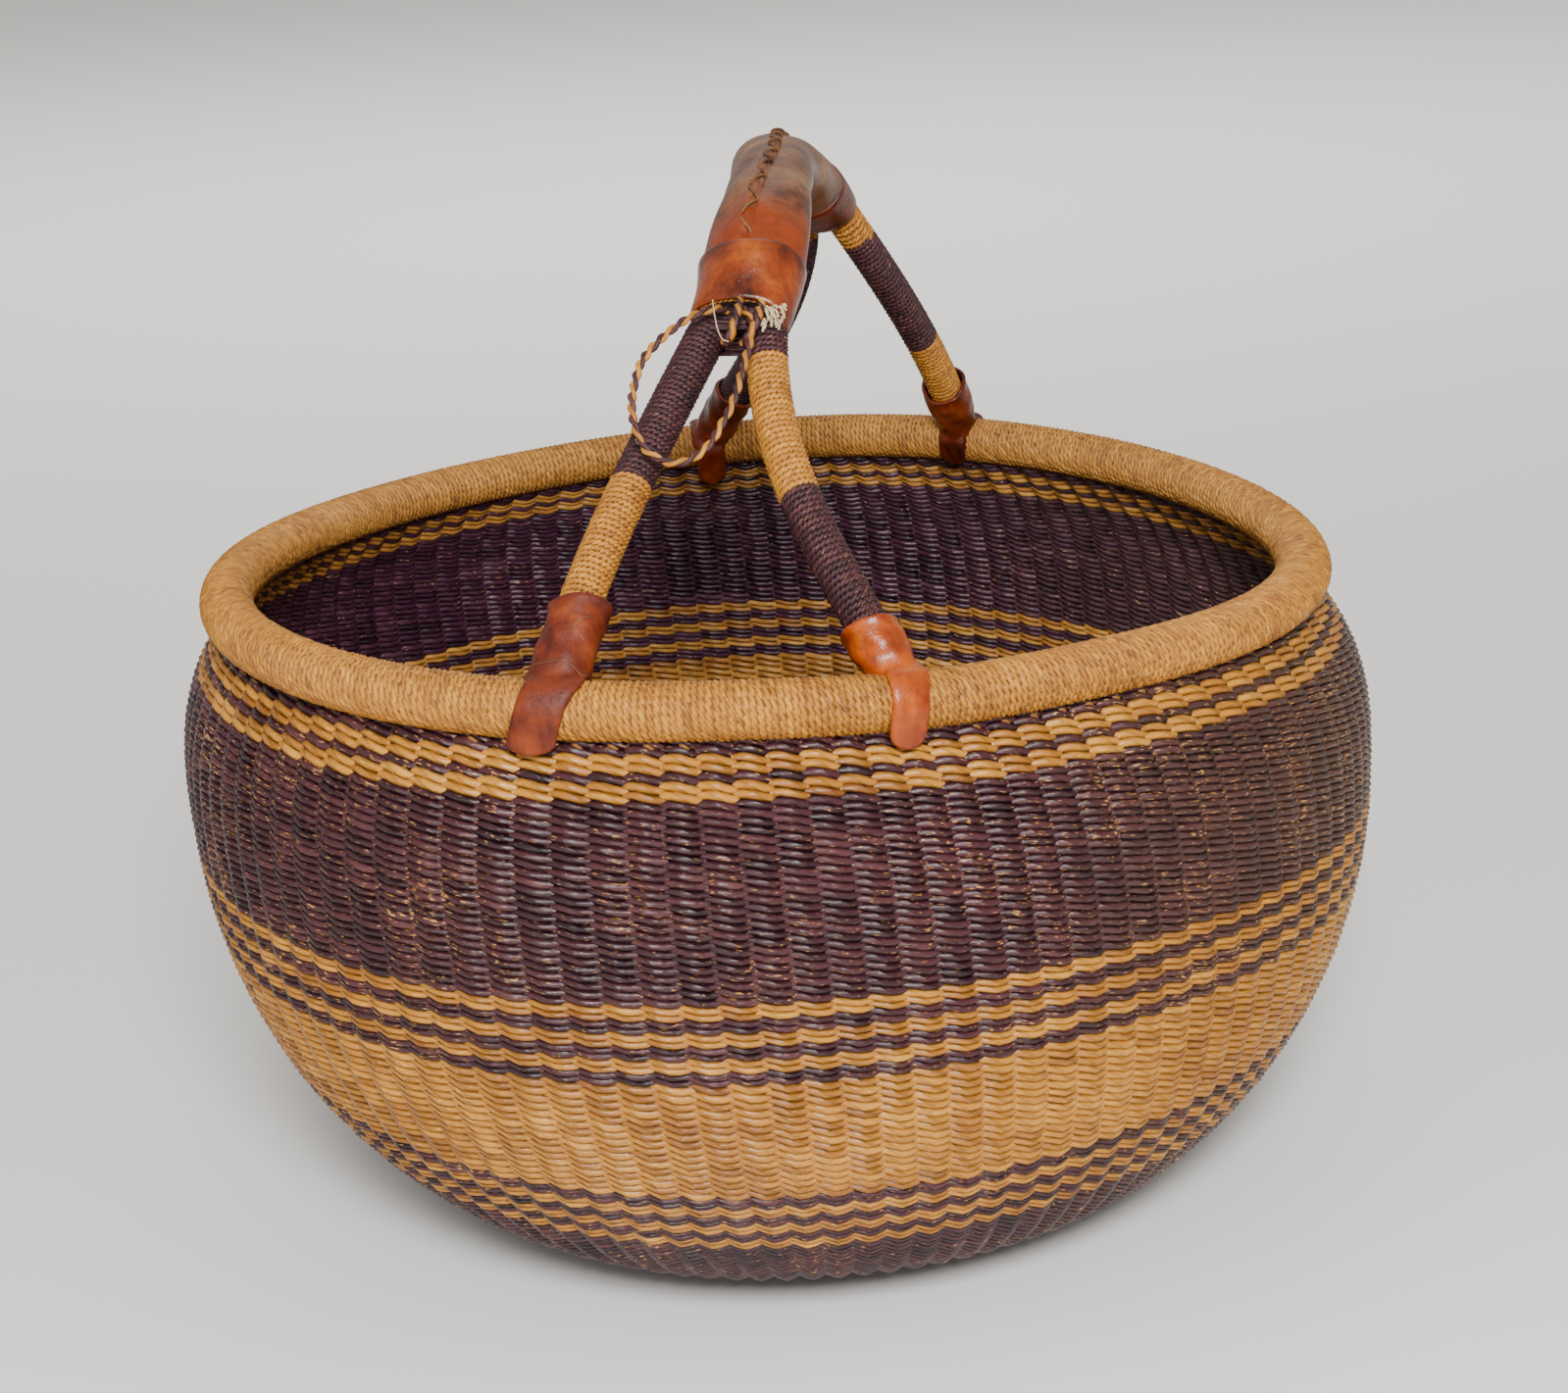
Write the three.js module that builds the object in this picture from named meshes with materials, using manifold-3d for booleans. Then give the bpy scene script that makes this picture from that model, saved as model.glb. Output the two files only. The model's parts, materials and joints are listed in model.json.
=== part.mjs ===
// Bolga basket: a round market basket woven from elephant grass, with a bound rim and an arched
// handle of two twine bound arches that meet in one leather grip. Millimetres, +Z up. The origin
// is the middle of the resting base, +Y points away from the side with the hanging loop.

import * as THREE from 'three';
import { mergeVertices } from 'three/addons/utils/BufferGeometryUtils.js';
import Module from 'manifold-3d';

const wasm = await Module();
wasm.setup();

// Driving sizes
const bodyRadius = 215;
const girthHeight = 149.6;
const baseRadius = 88;
const rimSeatHeight = 225.5;
const rimCircleRadius = 190;
const rimRadius = 9.7;
const weaveThickness = 4;
const twineRadius = 1.1;
const leatherThickness = 1.8;
const clearance = 0.3;

// Shape of the woven wall between the base and the rim
const bellyPower = 2.0;
const bellyRound = 2.09;
const shoulderPower = 3.19;
const profileSteps = 240;
const aroundSteps = 40;

// How far the hand-made body strays from a true round
const ovalShare = -0.0246;
const ovalTurn = -97.2;
const threeCornerShare = 0.05;
const threeCornerTurn = -7.0;
const rimLeanLeft = 12;
const rimLeanBack = 1.9;
const sideTiltShare = -0.018;
const rowTiltShare = 0.053;
const rimWaveTwo = 5.3;
const rimWaveTwoTurn = 47.1;
const rimWaveThree = 1.9;
const rimWaveThreeTurn = -56.8;
const flatFootShare = 0.15;

// Where the weft changes colour, as shares of the wall's height
const footTopShare = 0.0532;
const lowerPurpleTopShare = 0.2284;
const lowerStripesTopShare = 0.337;
const naturalTopShare = 0.5388;
const middleStripesTopShare = 0.6652;
const purpleTopShare = 0.9202;

// Handle, in the upright plane of the grip
const gripTurn = 13.1;
const gripMiddleX = 7.8;
const gripBow = 6;
const gripHalfLength = 77;
const nearMouthHeight = 331;
const gripTopHeight = 370;
const gripTopAlong = 18;
const farMouthHeight = 347;
const nearMouthHalfSpacing = 9;
const farMouthHalfSpacing = 6.8;
const archHalfSpacing = 5.8;
const coreRadius = 5.2;
const twinePitch = 3.1;
const neckLength = 5;
const plantLift = 14;
const gripHalfWidth = 16.6;
const gripHalfHeight = 12;
const nearCuffLength = 27;
const farCuffLength = 22;

// Leather clasps at the feet of the legs
const claspLength = 40;
const strapHalfWidth = 7;
const strapHang = 7;

// Thong laced over the grip
const laceRadius = 0.9;
const laceHalfSpan = 5;

// Hanging loop
const cordRadius = 1.65;
const knotRadius = 2.2;
const knotHeight = 8.8;
const knotHalfSpacing = 2.7;

const turn = Math.PI / 180;
const material = (color, roughness) => new THREE.MeshStandardMaterial({ color, roughness, metalness: 0 });
const straw = material(0xc89b5a, 0.7);
const purpleStraw = material(0x462d3c, 0.65);
const stripedStraw = material(0x9a7350, 0.7);
const innerGrass = material(0xb9985f, 0.9);
const tanLeather = material(0xb86a30, 0.4);
const brownLeather = material(0x7c341a, 0.45);
const laceLeather = material(0x8a5a3a, 0.6);

// A closed solid through rings of points: the rings run on to each other, and either the last one
// joins the first or both ends are capped
function loft(rings, closed) {
  const count = rings[0].length;
  const positions = rings.flat().flatMap((p) => [p.x, p.y, p.z]);
  const index = [];
  const spans = closed ? rings.length : rings.length - 1;
  for (let i = 0; i < spans; i++) {
    const here = i * count;
    const next = ((i + 1) % rings.length) * count;
    for (let j = 0; j < count; j++) {
      const k = (j + 1) % count;
      index.push(here + j, here + k, next + k, here + j, next + k, next + j);
    }
  }
  if (!closed) {
    for (const [start, flip] of [[0, true], [(rings.length - 1) * count, false]]) {
      for (let j = 1; j < count - 1; j++) {
        index.push(start, flip ? start + j + 1 : start + j, flip ? start + j : start + j + 1);
      }
    }
  }
  const geometry = new THREE.BufferGeometry();
  geometry.setAttribute('position', new THREE.Float32BufferAttribute(positions, 3));
  geometry.setIndex(index);
  return facingOut(geometry);
}

// Turns a closed geometry's faces outwards by the sign of its volume
function facingOut(geometry) {
  const p = geometry.attributes.position;
  const index = geometry.index.array;
  const [a, b, c] = [new THREE.Vector3(), new THREE.Vector3(), new THREE.Vector3()];
  let volume = 0;
  for (let i = 0; i < index.length; i += 3) {
    a.fromBufferAttribute(p, index[i]);
    b.fromBufferAttribute(p, index[i + 1]);
    c.fromBufferAttribute(p, index[i + 2]);
    volume += a.dot(b.cross(c));
  }
  if (volume < 0) index.reverse();
  geometry.computeVertexNormals();
  return geometry;
}

// Booleans: geometry to solid and back
function solid(geometry) {
  const bare = geometry.clone();
  for (const name of Object.keys(bare.attributes)) {
    if (name !== 'position') bare.deleteAttribute(name);
  }
  const merged = mergeVertices(bare);
  return new wasm.Manifold(new wasm.Mesh({
    numProp: 3,
    vertProperties: new Float32Array(merged.attributes.position.array),
    triVerts: new Uint32Array(merged.index.array),
  }));
}

function geometryOf(manifold) {
  const mesh = manifold.getMesh();
  const geometry = new THREE.BufferGeometry();
  geometry.setAttribute('position', new THREE.BufferAttribute(new Float32Array(mesh.vertProperties), 3));
  geometry.setIndex(new THREE.BufferAttribute(new Uint32Array(mesh.triVerts), 1));
  geometry.computeVertexNormals();
  return geometry;
}

// Moves a point of the true round basket to its place on the hand-made one, which is slightly
// oval, leans to one side and has a rim that rises and falls
function settle(azimuth, radius, height) {
  const up = THREE.MathUtils.clamp(height / rimSeatHeight, 0, 1);
  const oval = ovalShare * Math.cos(2 * (azimuth - ovalTurn * turn));
  const corners = threeCornerShare * Math.cos(3 * (azimuth - threeCornerTurn * turn));
  const reach = radius * (1 + up * (oval + corners));
  const x = reach * Math.cos(azimuth) - rimLeanLeft * up;
  const y = reach * Math.sin(azimuth) + rimLeanBack * up;
  const lifted = THREE.MathUtils.smoothstep(up, 0, flatFootShare);
  const tilt = sideTiltShare * x + rowTiltShare * (1 - up) * y;
  const wave = rimWaveTwo * Math.cos(2 * (azimuth - rimWaveTwoTurn * turn))
    + rimWaveThree * Math.cos(3 * (azimuth - rimWaveThreeTurn * turn));
  return new THREE.Vector3(x, y, height + lifted * tilt + up * up * wave);
}

// The wall's outer profile, as points with their distance along it from the base
function radiusAt(height) {
  if (height <= girthHeight) {
    const rise = 1 - (1 - height / girthHeight) ** bellyPower;
    return baseRadius + (bodyRadius - baseRadius) * rise ** (1 / bellyRound);
  }
  const share = (height - girthHeight) / (rimSeatHeight - girthHeight);
  return bodyRadius - (bodyRadius - rimCircleRadius) * share ** shoulderPower;
}

const profile = [];
for (let i = 0; i <= profileSteps; i++) {
  const height = rimSeatHeight * (i / profileSteps) ** 2;
  const point = { radius: radiusAt(height), height, along: 0 };
  const last = profile.at(-1);
  if (last) point.along = last.along + Math.hypot(point.radius - last.radius, height - last.height);
  profile.push(point);
}
const wallLength = profile.at(-1).along;

function profileAt(along) {
  const last = profile.length - 1;
  const i = THREE.MathUtils.clamp(profile.findIndex((p) => p.along > along), 1, last);
  const [a, b] = [profile[i - 1], profile[along >= wallLength ? last : i]];
  const share = (along - a.along) / (b.along - a.along);
  const length = b.along - a.along;
  return {
    radius: a.radius + (b.radius - a.radius) * share,
    height: a.height + (b.height - a.height) * share,
    inward: [-(b.height - a.height) / length, (b.radius - a.radius) / length],
  };
}

function alongAt(height) {
  const i = profile.findIndex((p) => p.height > height);
  const [a, b] = [profile[i - 1], profile[i]];
  return a.along + (b.along - a.along) * (height - a.height) / (b.height - a.height);
}

// One ring of points round the basket, at a distance along the wall and a depth into it
function wallRing(along, depth) {
  const { radius, height, inward } = profileAt(along);
  return Array.from({ length: aroundSteps }, (_, i) => settle(
    2 * Math.PI * i / aroundSteps, radius + inward[0] * depth, height + inward[1] * depth));
}

function wallBand(from, to, rows) {
  const stations = Array.from({ length: rows + 1 }, (_, i) => (
    from + clearance / 2 + (to - from - clearance) * i / rows));
  const outside = stations.map((along) => wallRing(along, 0));
  const inside = stations.reverse().map((along) => wallRing(along, weaveThickness));
  return loft([...outside, ...inside], true);
}

// Rim: a bundle of grass bound all round with twine. The binding stays open below, where the top
// edge of the weave enters it
const rimCentreHeight = rimSeatHeight + rimRadius / 2;
const flattenedTwineShare = 0.85;
const bindingThickness = 2 * twineRadius * flattenedTwineShare;
const binderSides = 9;
const rimCoreRadius = (rimRadius - bindingThickness) * Math.cos(Math.PI / binderSides) - clearance;
const rimCoreSides = 6;
const slotMargin = 4;
const fullTurn = 360;

function rimDistance(point) {
  return Math.hypot(point[0] - rimCircleRadius, point[1] - rimCentreHeight);
}

function wallTop() {
  let along = wallLength;
  const clear = rimRadius - bindingThickness;
  for (;;) {
    const { radius, height, inward } = profileAt(along);
    const inner = [radius + inward[0] * weaveThickness, height + inward[1] * weaveThickness];
    if (rimDistance([radius, height]) > clear && rimDistance(inner) > clear) return along;
    along -= clearance / 2;
  }
}

function rimPoint(azimuth, angle, distance) {
  return settle(
    azimuth, rimCircleRadius + distance * Math.cos(angle), rimCentreHeight + distance * Math.sin(angle));
}

function rimRings(section) {
  return Array.from({ length: aroundSteps }, (_, i) => section.map(([angle, distance]) => (
    rimPoint(2 * Math.PI * i / aroundSteps, angle, distance))));
}

const circleSection = (sides, distance) => Array.from({ length: sides }, (_, i) => (
  [2 * Math.PI * (i + 0.5) / sides, distance]));

// Degrees round the rim between which the weave's top edge passes through the binding
function slotAngles() {
  const { radius, height, inward } = profileAt(wallTop());
  const blocked = [];
  for (let degree = 180; degree < 360; degree++) {
    const [c, s] = [Math.cos(degree * turn), Math.sin(degree * turn)];
    for (const distance of [rimRadius, rimRadius - bindingThickness]) {
      const dx = rimCircleRadius + distance * c - radius;
      const dz = rimCentreHeight + distance * s - height;
      const deep = dx * inward[0] + dz * inward[1];
      const past = dx * inward[1] - dz * inward[0];
      if (deep > -clearance && deep < weaveThickness + clearance && past > -clearance) blocked.push(degree);
    }
  }
  return [blocked[0] - slotMargin, blocked.at(-1) + slotMargin];
}

function rimBinding() {
  const [slotStart, slotEnd] = slotAngles();
  const open = slotStart + fullTurn - slotEnd;
  const arc = (distance) => Array.from({ length: binderSides + 1 }, (_, i) => (
    [(slotEnd + open * i / binderSides) * turn, distance]));
  return loft(rimRings([...arc(rimRadius), ...arc(rimRadius - bindingThickness).reverse()]), true);
}

// What a leg or a clasp seats on: the rim with its clearance, wide enough to clear every facet
const seatSides = 16;
const rimSeat = solid(loft(rimRings(
  circleSection(seatSides, (rimRadius + clearance) / Math.cos(Math.PI / seatSides))), true));

// Handle. The grip's line is an arch in an upright plane; each leg leaves its mouth with some
// splay and bends down to its own place on the rim
const gripAlong = new THREE.Vector3(Math.sin(gripTurn * turn), Math.cos(gripTurn * turn), 0);
const gripAcross = new THREE.Vector3(Math.cos(gripTurn * turn), -Math.sin(gripTurn * turn), 0);

function gripPoint(along, across, height) {
  return new THREE.Vector3(gripMiddleX, 0, height).addScaledVector(gripAlong, along)
    .addScaledVector(gripAcross, across);
}

// Points of the grip's line: shares of its half length, of the bow to the side, and of the rise from
// the mouth to the top
const gripLineShares = [
  [-1, 0, 0], [-0.62, 0.55, 0.71], [-0.2, 0.1, 0.957], [gripTopAlong / gripHalfLength, -0.75, 1],
  [0.6, -0.6, 0.68], [1, 0, 0],
];
const gripPoints = gripLineShares.map(([share, bow, rise]) => {
  const mouthHeight = share < 0 ? nearMouthHeight : farMouthHeight;
  const height = THREE.MathUtils.lerp(mouthHeight, gripTopHeight, rise);
  return { along: share * gripHalfLength, bow: bow * gripBow, height };
});

// Legs: where each stands round the rim and how far it splays, in degrees, how its curve bends, and
// the shares of its bound length at which the colour of its twine ends
const legs = [
  {
    name: 'front_left', end: -1, side: -1, rimAzimuth: 250.2, splay: 22, bendShares: [0.4, 0.3],
    twineShares: [['purple', 0.585], ['natural', 1]],
  },
  {
    name: 'front_right', end: -1, side: 1, rimAzimuth: 284.4, splay: 2, bendShares: [0.42, 0.3],
    twineShares: [['purple_upper', 0.11], ['natural', 0.56], ['purple_lower', 1]],
  },
  {
    name: 'back_left', end: 1, side: -1, rimAzimuth: 92.9, splay: 8, bendShares: [0.4, 0.3],
    twineShares: [['natural_upper', 0.12], ['purple_upper', 0.5], ['purple_lower', 1]],
  },
  {
    name: 'back_right', end: 1, side: 1, rimAzimuth: 56.5, splay: 36, bendShares: [0.35, 0.3],
    twineShares: [['natural_upper', 0.16], ['purple', 0.73], ['natural_lower', 1]],
  },
];
const legSteps = 12;

function legMouth(leg) {
  return leg.end < 0
    ? gripPoint(-gripHalfLength, leg.side * nearMouthHalfSpacing, nearMouthHeight)
    : gripPoint(gripHalfLength, leg.side * farMouthHalfSpacing, farMouthHeight);
}

// Points of one leg, from the middle of the rim up to the mouth of the grip
function legPoints(leg) {
  const mouth = legMouth(leg);
  const foot = rimPoint(leg.rimAzimuth * turn, 0, 0);
  const length = mouth.distanceTo(foot);
  const drop = Math.asin((mouth.z - foot.z) / length);
  const level = gripAlong.clone().multiplyScalar(leg.end * Math.cos(leg.splay * turn))
    .addScaledVector(gripAcross, leg.side * Math.sin(leg.splay * turn));
  const leave = level.multiplyScalar(Math.cos(drop)).setZ(-Math.sin(drop));
  const first = mouth.clone().addScaledVector(leave, length * leg.bendShares[0]);
  const second = foot.clone().lerp(first, leg.bendShares[1]).add(new THREE.Vector3(0, 0, plantLift));
  return new THREE.CubicBezierCurve3(foot, second, first, mouth).getSpacedPoints(legSteps);
}

function archCurve(side) {
  const [front, back] = [-1, 1].map((end) => (
    legPoints(legs.find((leg) => leg.end === end && leg.side === side))));
  const middle = gripPoints.slice(1, -1).map(({ along, bow, height }) => (
    gripPoint(along, bow + side * archHalfSpacing, height)));
  return new THREE.CatmullRomCurve3([...front, ...middle, ...back.reverse()], false, 'centripetal');
}

function roundBar(radius, sides, steps, path) {
  const corners = Array.from({ length: sides }, (_, i) => new THREE.Vector2(
    radius * Math.cos(2 * Math.PI * i / sides), radius * Math.sin(2 * Math.PI * i / sides)));
  return solid(new THREE.ExtrudeGeometry(
    new THREE.Shape(corners), { steps, extrudePath: path, bevelEnabled: false }));
}

const archSteps = 32;
const coreSides = 8;
const arches = {};
for (const [side, name] of [[-1, 'left'], [1, 'right']]) {
  const curve = archCurve(side);
  const core = roundBar(coreRadius, coreSides, archSteps, curve).subtract(rimSeat);
  arches[side] = { name, curve, core, room: roundBar(coreRadius + clearance, coreSides, archSteps, curve) };
}

// Place and directions at a distance from the foot of a leg, measured along its arch
function legFrame(leg, distance) {
  const { curve } = arches[leg.side];
  const share = distance / curve.getLength();
  const u = THREE.MathUtils.clamp(leg.end < 0 ? share : 1 - share, 0, 1);
  const along = curve.getTangentAt(u).multiplyScalar(-leg.end);
  const across = new THREE.Vector3().crossVectors(along, new THREE.Vector3(0, 0, 1)).normalize();
  return { point: curve.getPointAt(u), along, across, up: new THREE.Vector3().crossVectors(across, along) };
}

// Distance from the foot of a leg to the mouth of the grip, along its arch
function lengthToMouth(leg) {
  const mouth = legMouth(leg);
  const middle = arches[leg.side].curve.getLength() / 2;
  let [length, nearest] = [0, Infinity];
  for (let distance = 0; distance < middle; distance += clearance) {
    const away = legFrame(leg, distance).point.distanceTo(mouth);
    if (away < nearest) [length, nearest] = [distance, away];
  }
  return length;
}

function roundRing({ point, across, up }, halfWidth, halfHeight, sides) {
  return Array.from({ length: sides }, (_, i) => {
    const angle = 2 * Math.PI * i / sides;
    return point.clone().addScaledVector(across, halfWidth * Math.cos(angle))
      .addScaledVector(up, halfHeight * Math.sin(angle));
  });
}

// Twine wound round a leg, as one unbroken tube of three sides whose flat side lies inwards
const loopSteps = 8;
const maxLoops = 24;
const bendAllowance = 0.25;
const windRadius = (coreRadius + bendAllowance + clearance + twineRadius / 2) / Math.cos(Math.PI / loopSteps);

function winding(leg, from, to) {
  const room = to - from - 2 * twineRadius;
  const loops = THREE.MathUtils.clamp(Math.floor(room / twinePitch), 1, maxLoops);
  const pitch = room / loops;
  const centres = [];
  const rings = [];
  for (let i = 0; i <= loops * loopSteps; i++) {
    const frame = legFrame(leg, from + twineRadius + pitch * i / loopSteps);
    const angle = 2 * Math.PI * i / loopSteps;
    const out = frame.across.clone().multiplyScalar(Math.cos(angle)).addScaledVector(frame.up, Math.sin(angle));
    const centre = frame.point.clone().addScaledVector(out, windRadius);
    centres.push(centre);
    rings.push([0, 1, 2].map((corner) => centre.clone()
      .addScaledVector(out, twineRadius * Math.cos(2 * Math.PI * corner / 3))
      .addScaledVector(frame.along, twineRadius * Math.sin(2 * Math.PI * corner / 3))));
  }
  for (const [end, before] of [[0, 1], [centres.length - 1, centres.length - 2]]) {
    const straight = centres[end].clone().sub(centres[before]).setLength(2 * twineRadius);
    const ring = rings[end].map((p) => p.clone().add(straight));
    if (end === 0) rings.unshift(ring);
    else rings.push(ring);
  }
  return { geometry: loft(rings, false), gap: leastGap(centres), loops };
}

// Least distance between turns, measured on points of the tube's line, less its thickness
function leastGap(centres) {
  const points = new THREE.CatmullRomCurve3(centres).getPoints(centres.length * 2);
  const apart = loopSteps;
  let least = Infinity;
  for (let i = 0; i < points.length; i++) {
    for (let j = i + apart; j < Math.min(points.length, i + 4 * apart); j++) {
      least = Math.min(least, points[i].distanceTo(points[j]));
    }
  }
  return least - 2 * twineRadius;
}

// Leather clasps: a cuff round the foot of the leg, and a strap that runs on over the rim, down
// its outside and its inside. Skews, hangs and radii are shares of the strap's half width, of its
// hang and of the cuff's radius
const claspShares = {
  front_left: {
    length: 0.86, width: 1, skew: -0.15, hangs: [1.5, 0.5], radii: [1.04, 1.04, 1, 0.97, 1],
  },
  front_right: {
    length: 0.66, width: 0.9, skew: -0.5, hangs: [1.65, 0.5], radii: [1, 0.94, 0.97, 1.07, 1.03],
  },
  back_left: {
    length: 0.9, width: 0.94, skew: 0, hangs: [1.3, 2], radii: [1.02, 0.98, 0.98, 1.02, 1],
  },
  back_right: {
    length: 0.83, width: 0.97, skew: 0, hangs: [1.3, 0.9], radii: [1, 0.9, 1, 1.1, 1.04],
  },
};
const cuffWrapShare = 0.75;
const cuffRadius = coreRadius + 2 * twineRadius + cuffWrapShare * leatherThickness;
const cuffSides = 12;
const outerBendAngle = -5;
const innerBendAngle = 200;
const strapSteps = 10;
const tailTaperShare = 0.7;
const tailEndShare = 0.5;
const strapEdgeShare = 0.9;
const strapBevelShare = 0.25;

// Stations along a strap: its outer tail, the bend over the rim, and its inner tail
function strapStations([outerShare, innerShare]) {
  const bend = Array.from({ length: strapSteps + 1 }, (_, i) => (
    [(outerBendAngle + (innerBendAngle - outerBendAngle) * i / strapSteps) * turn, 0]));
  const outerTail = [1, tailTaperShare].map((share) => (
    [outerBendAngle * turn, -share * outerShare * strapHang]));
  const innerTail = [tailTaperShare, 1].map((share) => (
    [innerBendAngle * turn, share * innerShare * strapHang]));
  return [...outerTail, ...bend, ...innerTail];
}

function strap(leg, shares) {
  const stations = strapStations(shares.hangs);
  const fullHalf = strapHalfWidth * shares.width;
  const inner = rimRadius + clearance;
  const outer = inner + leatherThickness;
  const bevelled = outer - strapBevelShare * leatherThickness;
  const rings = stations.map(([angle, hang], i) => {
    const isEnd = i === 0 || i === stations.length - 1;
    const half = fullHalf * (isEnd ? tailEndShare : 1);
    const shift = shares.skew * fullHalf * (Math.max(0, Math.cos(angle)) + Math.max(0, -hang / rimRadius));
    const edge = (across, distance) => settle(
      leg.rimAzimuth * turn + (shift + across * half) / rimCircleRadius,
      rimCircleRadius + distance * Math.cos(angle) - hang * Math.sin(angle),
      rimCentreHeight + distance * Math.sin(angle) + hang * Math.cos(angle));
    const under = hang === 0 ? rimRadius - leatherThickness : inner;
    return [
      edge(-1, under), edge(-strapEdgeShare, bevelled), edge(0, outer), edge(strapEdgeShare, bevelled),
      edge(1, under),
    ];
  });
  return solid(loft(rings, false));
}

function claspOf(leg) {
  const shares = claspShares[leg.name];
  const last = shares.radii.length - 1;
  const rings = shares.radii.map((share, i) => {
    const radius = cuffRadius * share;
    return roundRing(legFrame(leg, claspLength * shares.length * i / last), radius, radius, cuffSides);
  });
  const leather = solid(loft(rings, false)).add(strap(leg, shares));
  return geometryOf(leather.subtract(arches[leg.side].room).subtract(rimSeat));
}

// Leather grip round both arches: a wrapper between two end cuffs, and the grass packed inside
const gripLine = new THREE.CatmullRomCurve3(
  gripPoints.map(({ along, bow, height }) => gripPoint(along, bow, height)), false, 'centripetal');
const gripLength = gripLine.getLength();
const gripSides = 16;
const gripSteps = 9;
const cuffSteps = 3;
const packingSteps = 12;

function gripFrame(distance) {
  const u = THREE.MathUtils.clamp(distance / gripLength, 0, 1);
  const along = gripLine.getTangentAt(u);
  const up = new THREE.Vector3().crossVectors(gripAcross, along);
  return { point: gripLine.getPointAt(u), along, across: gripAcross, up };
}

// Half width of the grip along its length, as shares: fuller at the cuffs, slimmer in the hand
const gripSwellShares = [1.06, 1.09, 1.0, 0.87, 0.83, 0.83, 0.84, 0.86, 0.88, 0.88];
function gripSwell(distance) {
  const place = distance / gripLength * (gripSwellShares.length - 1);
  const i = Math.min(Math.floor(place), gripSwellShares.length - 2);
  return THREE.MathUtils.lerp(gripSwellShares[i], gripSwellShares[i + 1], place - i);
}

function gripRings(from, to, steps, inset) {
  return Array.from({ length: steps + 1 }, (_, i) => {
    const distance = from + (to - from) * i / steps;
    const swell = gripSwell(distance);
    return roundRing(
      gripFrame(distance), gripHalfWidth * swell - inset, gripHalfHeight * swell - inset, gripSides);
  });
}

function gripSleeve(from, to, steps) {
  const outside = gripRings(from, to, steps, 0);
  const inside = gripRings(from, to, steps, leatherThickness).reverse();
  return loft([...outside, ...inside], true);
}

function packing() {
  const grass = solid(loft(gripRings(0, gripLength, packingSteps, leatherThickness + 2 * clearance), false));
  return geometryOf(grass.subtract(arches[-1].room).subtract(arches[1].room));
}

// Thong laced to and fro over the seam along the top of the wrapper
const laceInset = 6 * laceRadius;
const laceStitches = 11;
const laceSides = 6;

function lacing() {
  const from = nearCuffLength + laceInset;
  const to = gripLength - farCuffLength - laceInset;
  const points = [];
  for (let i = 0; i <= 2 * laceStitches; i++) {
    const distance = from + (to - from) * i / (2 * laceStitches);
    const frame = gripFrame(distance);
    const swell = gripSwell(distance);
    const across = laceHalfSpan * [-1, 0, 1, 0][i % 4];
    const crown = Math.sqrt(1 - (across / (gripHalfWidth * swell)) ** 2);
    const lift = gripHalfHeight * swell * crown + clearance + laceRadius;
    points.push(frame.point.clone().addScaledVector(frame.across, across).addScaledVector(frame.up, lift));
  }
  const rings = points.map((point, i) => {
    const [before, after] = [points[Math.max(i - 1, 0)], points[Math.min(i + 1, points.length - 1)]];
    const along = after.clone().sub(before).normalize();
    const up = gripFrame(from + (to - from) * i / (2 * laceStitches)).up;
    const across = new THREE.Vector3().crossVectors(along, up).normalize();
    const frame = { point, across, up: new THREE.Vector3().crossVectors(across, along) };
    return roundRing(frame, laceRadius, laceRadius, laceSides);
  });
  return loft(rings, false);
}

// Hanging loop: a free two-ply cord, tied into the near mouth of the grip. Both ends have a small
// knot on the line that the loop swings about
const cordSides = 8;
const cordSteps = 42;
const mouthFrame = gripFrame(0);
const hinge = mouthFrame.point.clone().addScaledVector(mouthFrame.along, -(knotRadius + clearance))
  .addScaledVector(mouthFrame.up, knotHeight);
const loopRoute = [
  [-18.5, -86.5, 337.0], [-25.0, -89.5, 336.0], [-31.5, -92.5, 333.0], [-37.1, -95.5, 329.3],
  [-42.8, -100.4, 324.2], [-45.7, -106.5, 318.2], [-47.0, -112.5, 312.5], [-46.4, -118.7, 306.7],
  [-44.3, -124.3, 301.5], [-40.4, -127.7, 298.2], [-33.8, -129.7, 296.3], [-28.1, -128.4, 297.6],
  [-23.5, -125.4, 300.4], [-19.1, -120.1, 305.4], [-15.1, -114.3, 310.9], [-12.1, -107.4, 317.3],
  [-9.4, -100.2, 323.2], [-7.6, -94.0, 328.0], [-6.8, -88.5, 332.6],
];

function hangingLoop() {
  const ends = [-1, 1].map((side) => hinge.clone().addScaledVector(gripAcross, side * knotHalfSpacing));
  const points = [ends[0], ...loopRoute.map((p) => new THREE.Vector3(...p)), ends[1]];
  const curve = new THREE.CatmullRomCurve3(points, false, 'centripetal');
  const knots = ends.map((end) => solid(new THREE.SphereGeometry(knotRadius, cordSides, cordSides / 2)
    .translate(end.x, end.y, end.z)));
  console.log(`hanging loop ${curve.getLength().toFixed(1)} mm long`);
  const cord = roundBar(cordRadius, cordSides, cordSteps, curve);
  return geometryOf(cord.add(knots[0]).add(knots[1])).translate(-hinge.x, -hinge.y, -hinge.z);
}

// Assembly
const basket = new THREE.Group();
const body = new THREE.Group();
const rim = new THREE.Group();
const handle = new THREE.Group();
const loop = new THREE.Group();
basket.add(body, rim, handle, loop);

function place(group, name, geometry, finish) {
  const mesh = new THREE.Mesh(geometry, finish);
  mesh.name = name;
  group.add(mesh);
}

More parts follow.
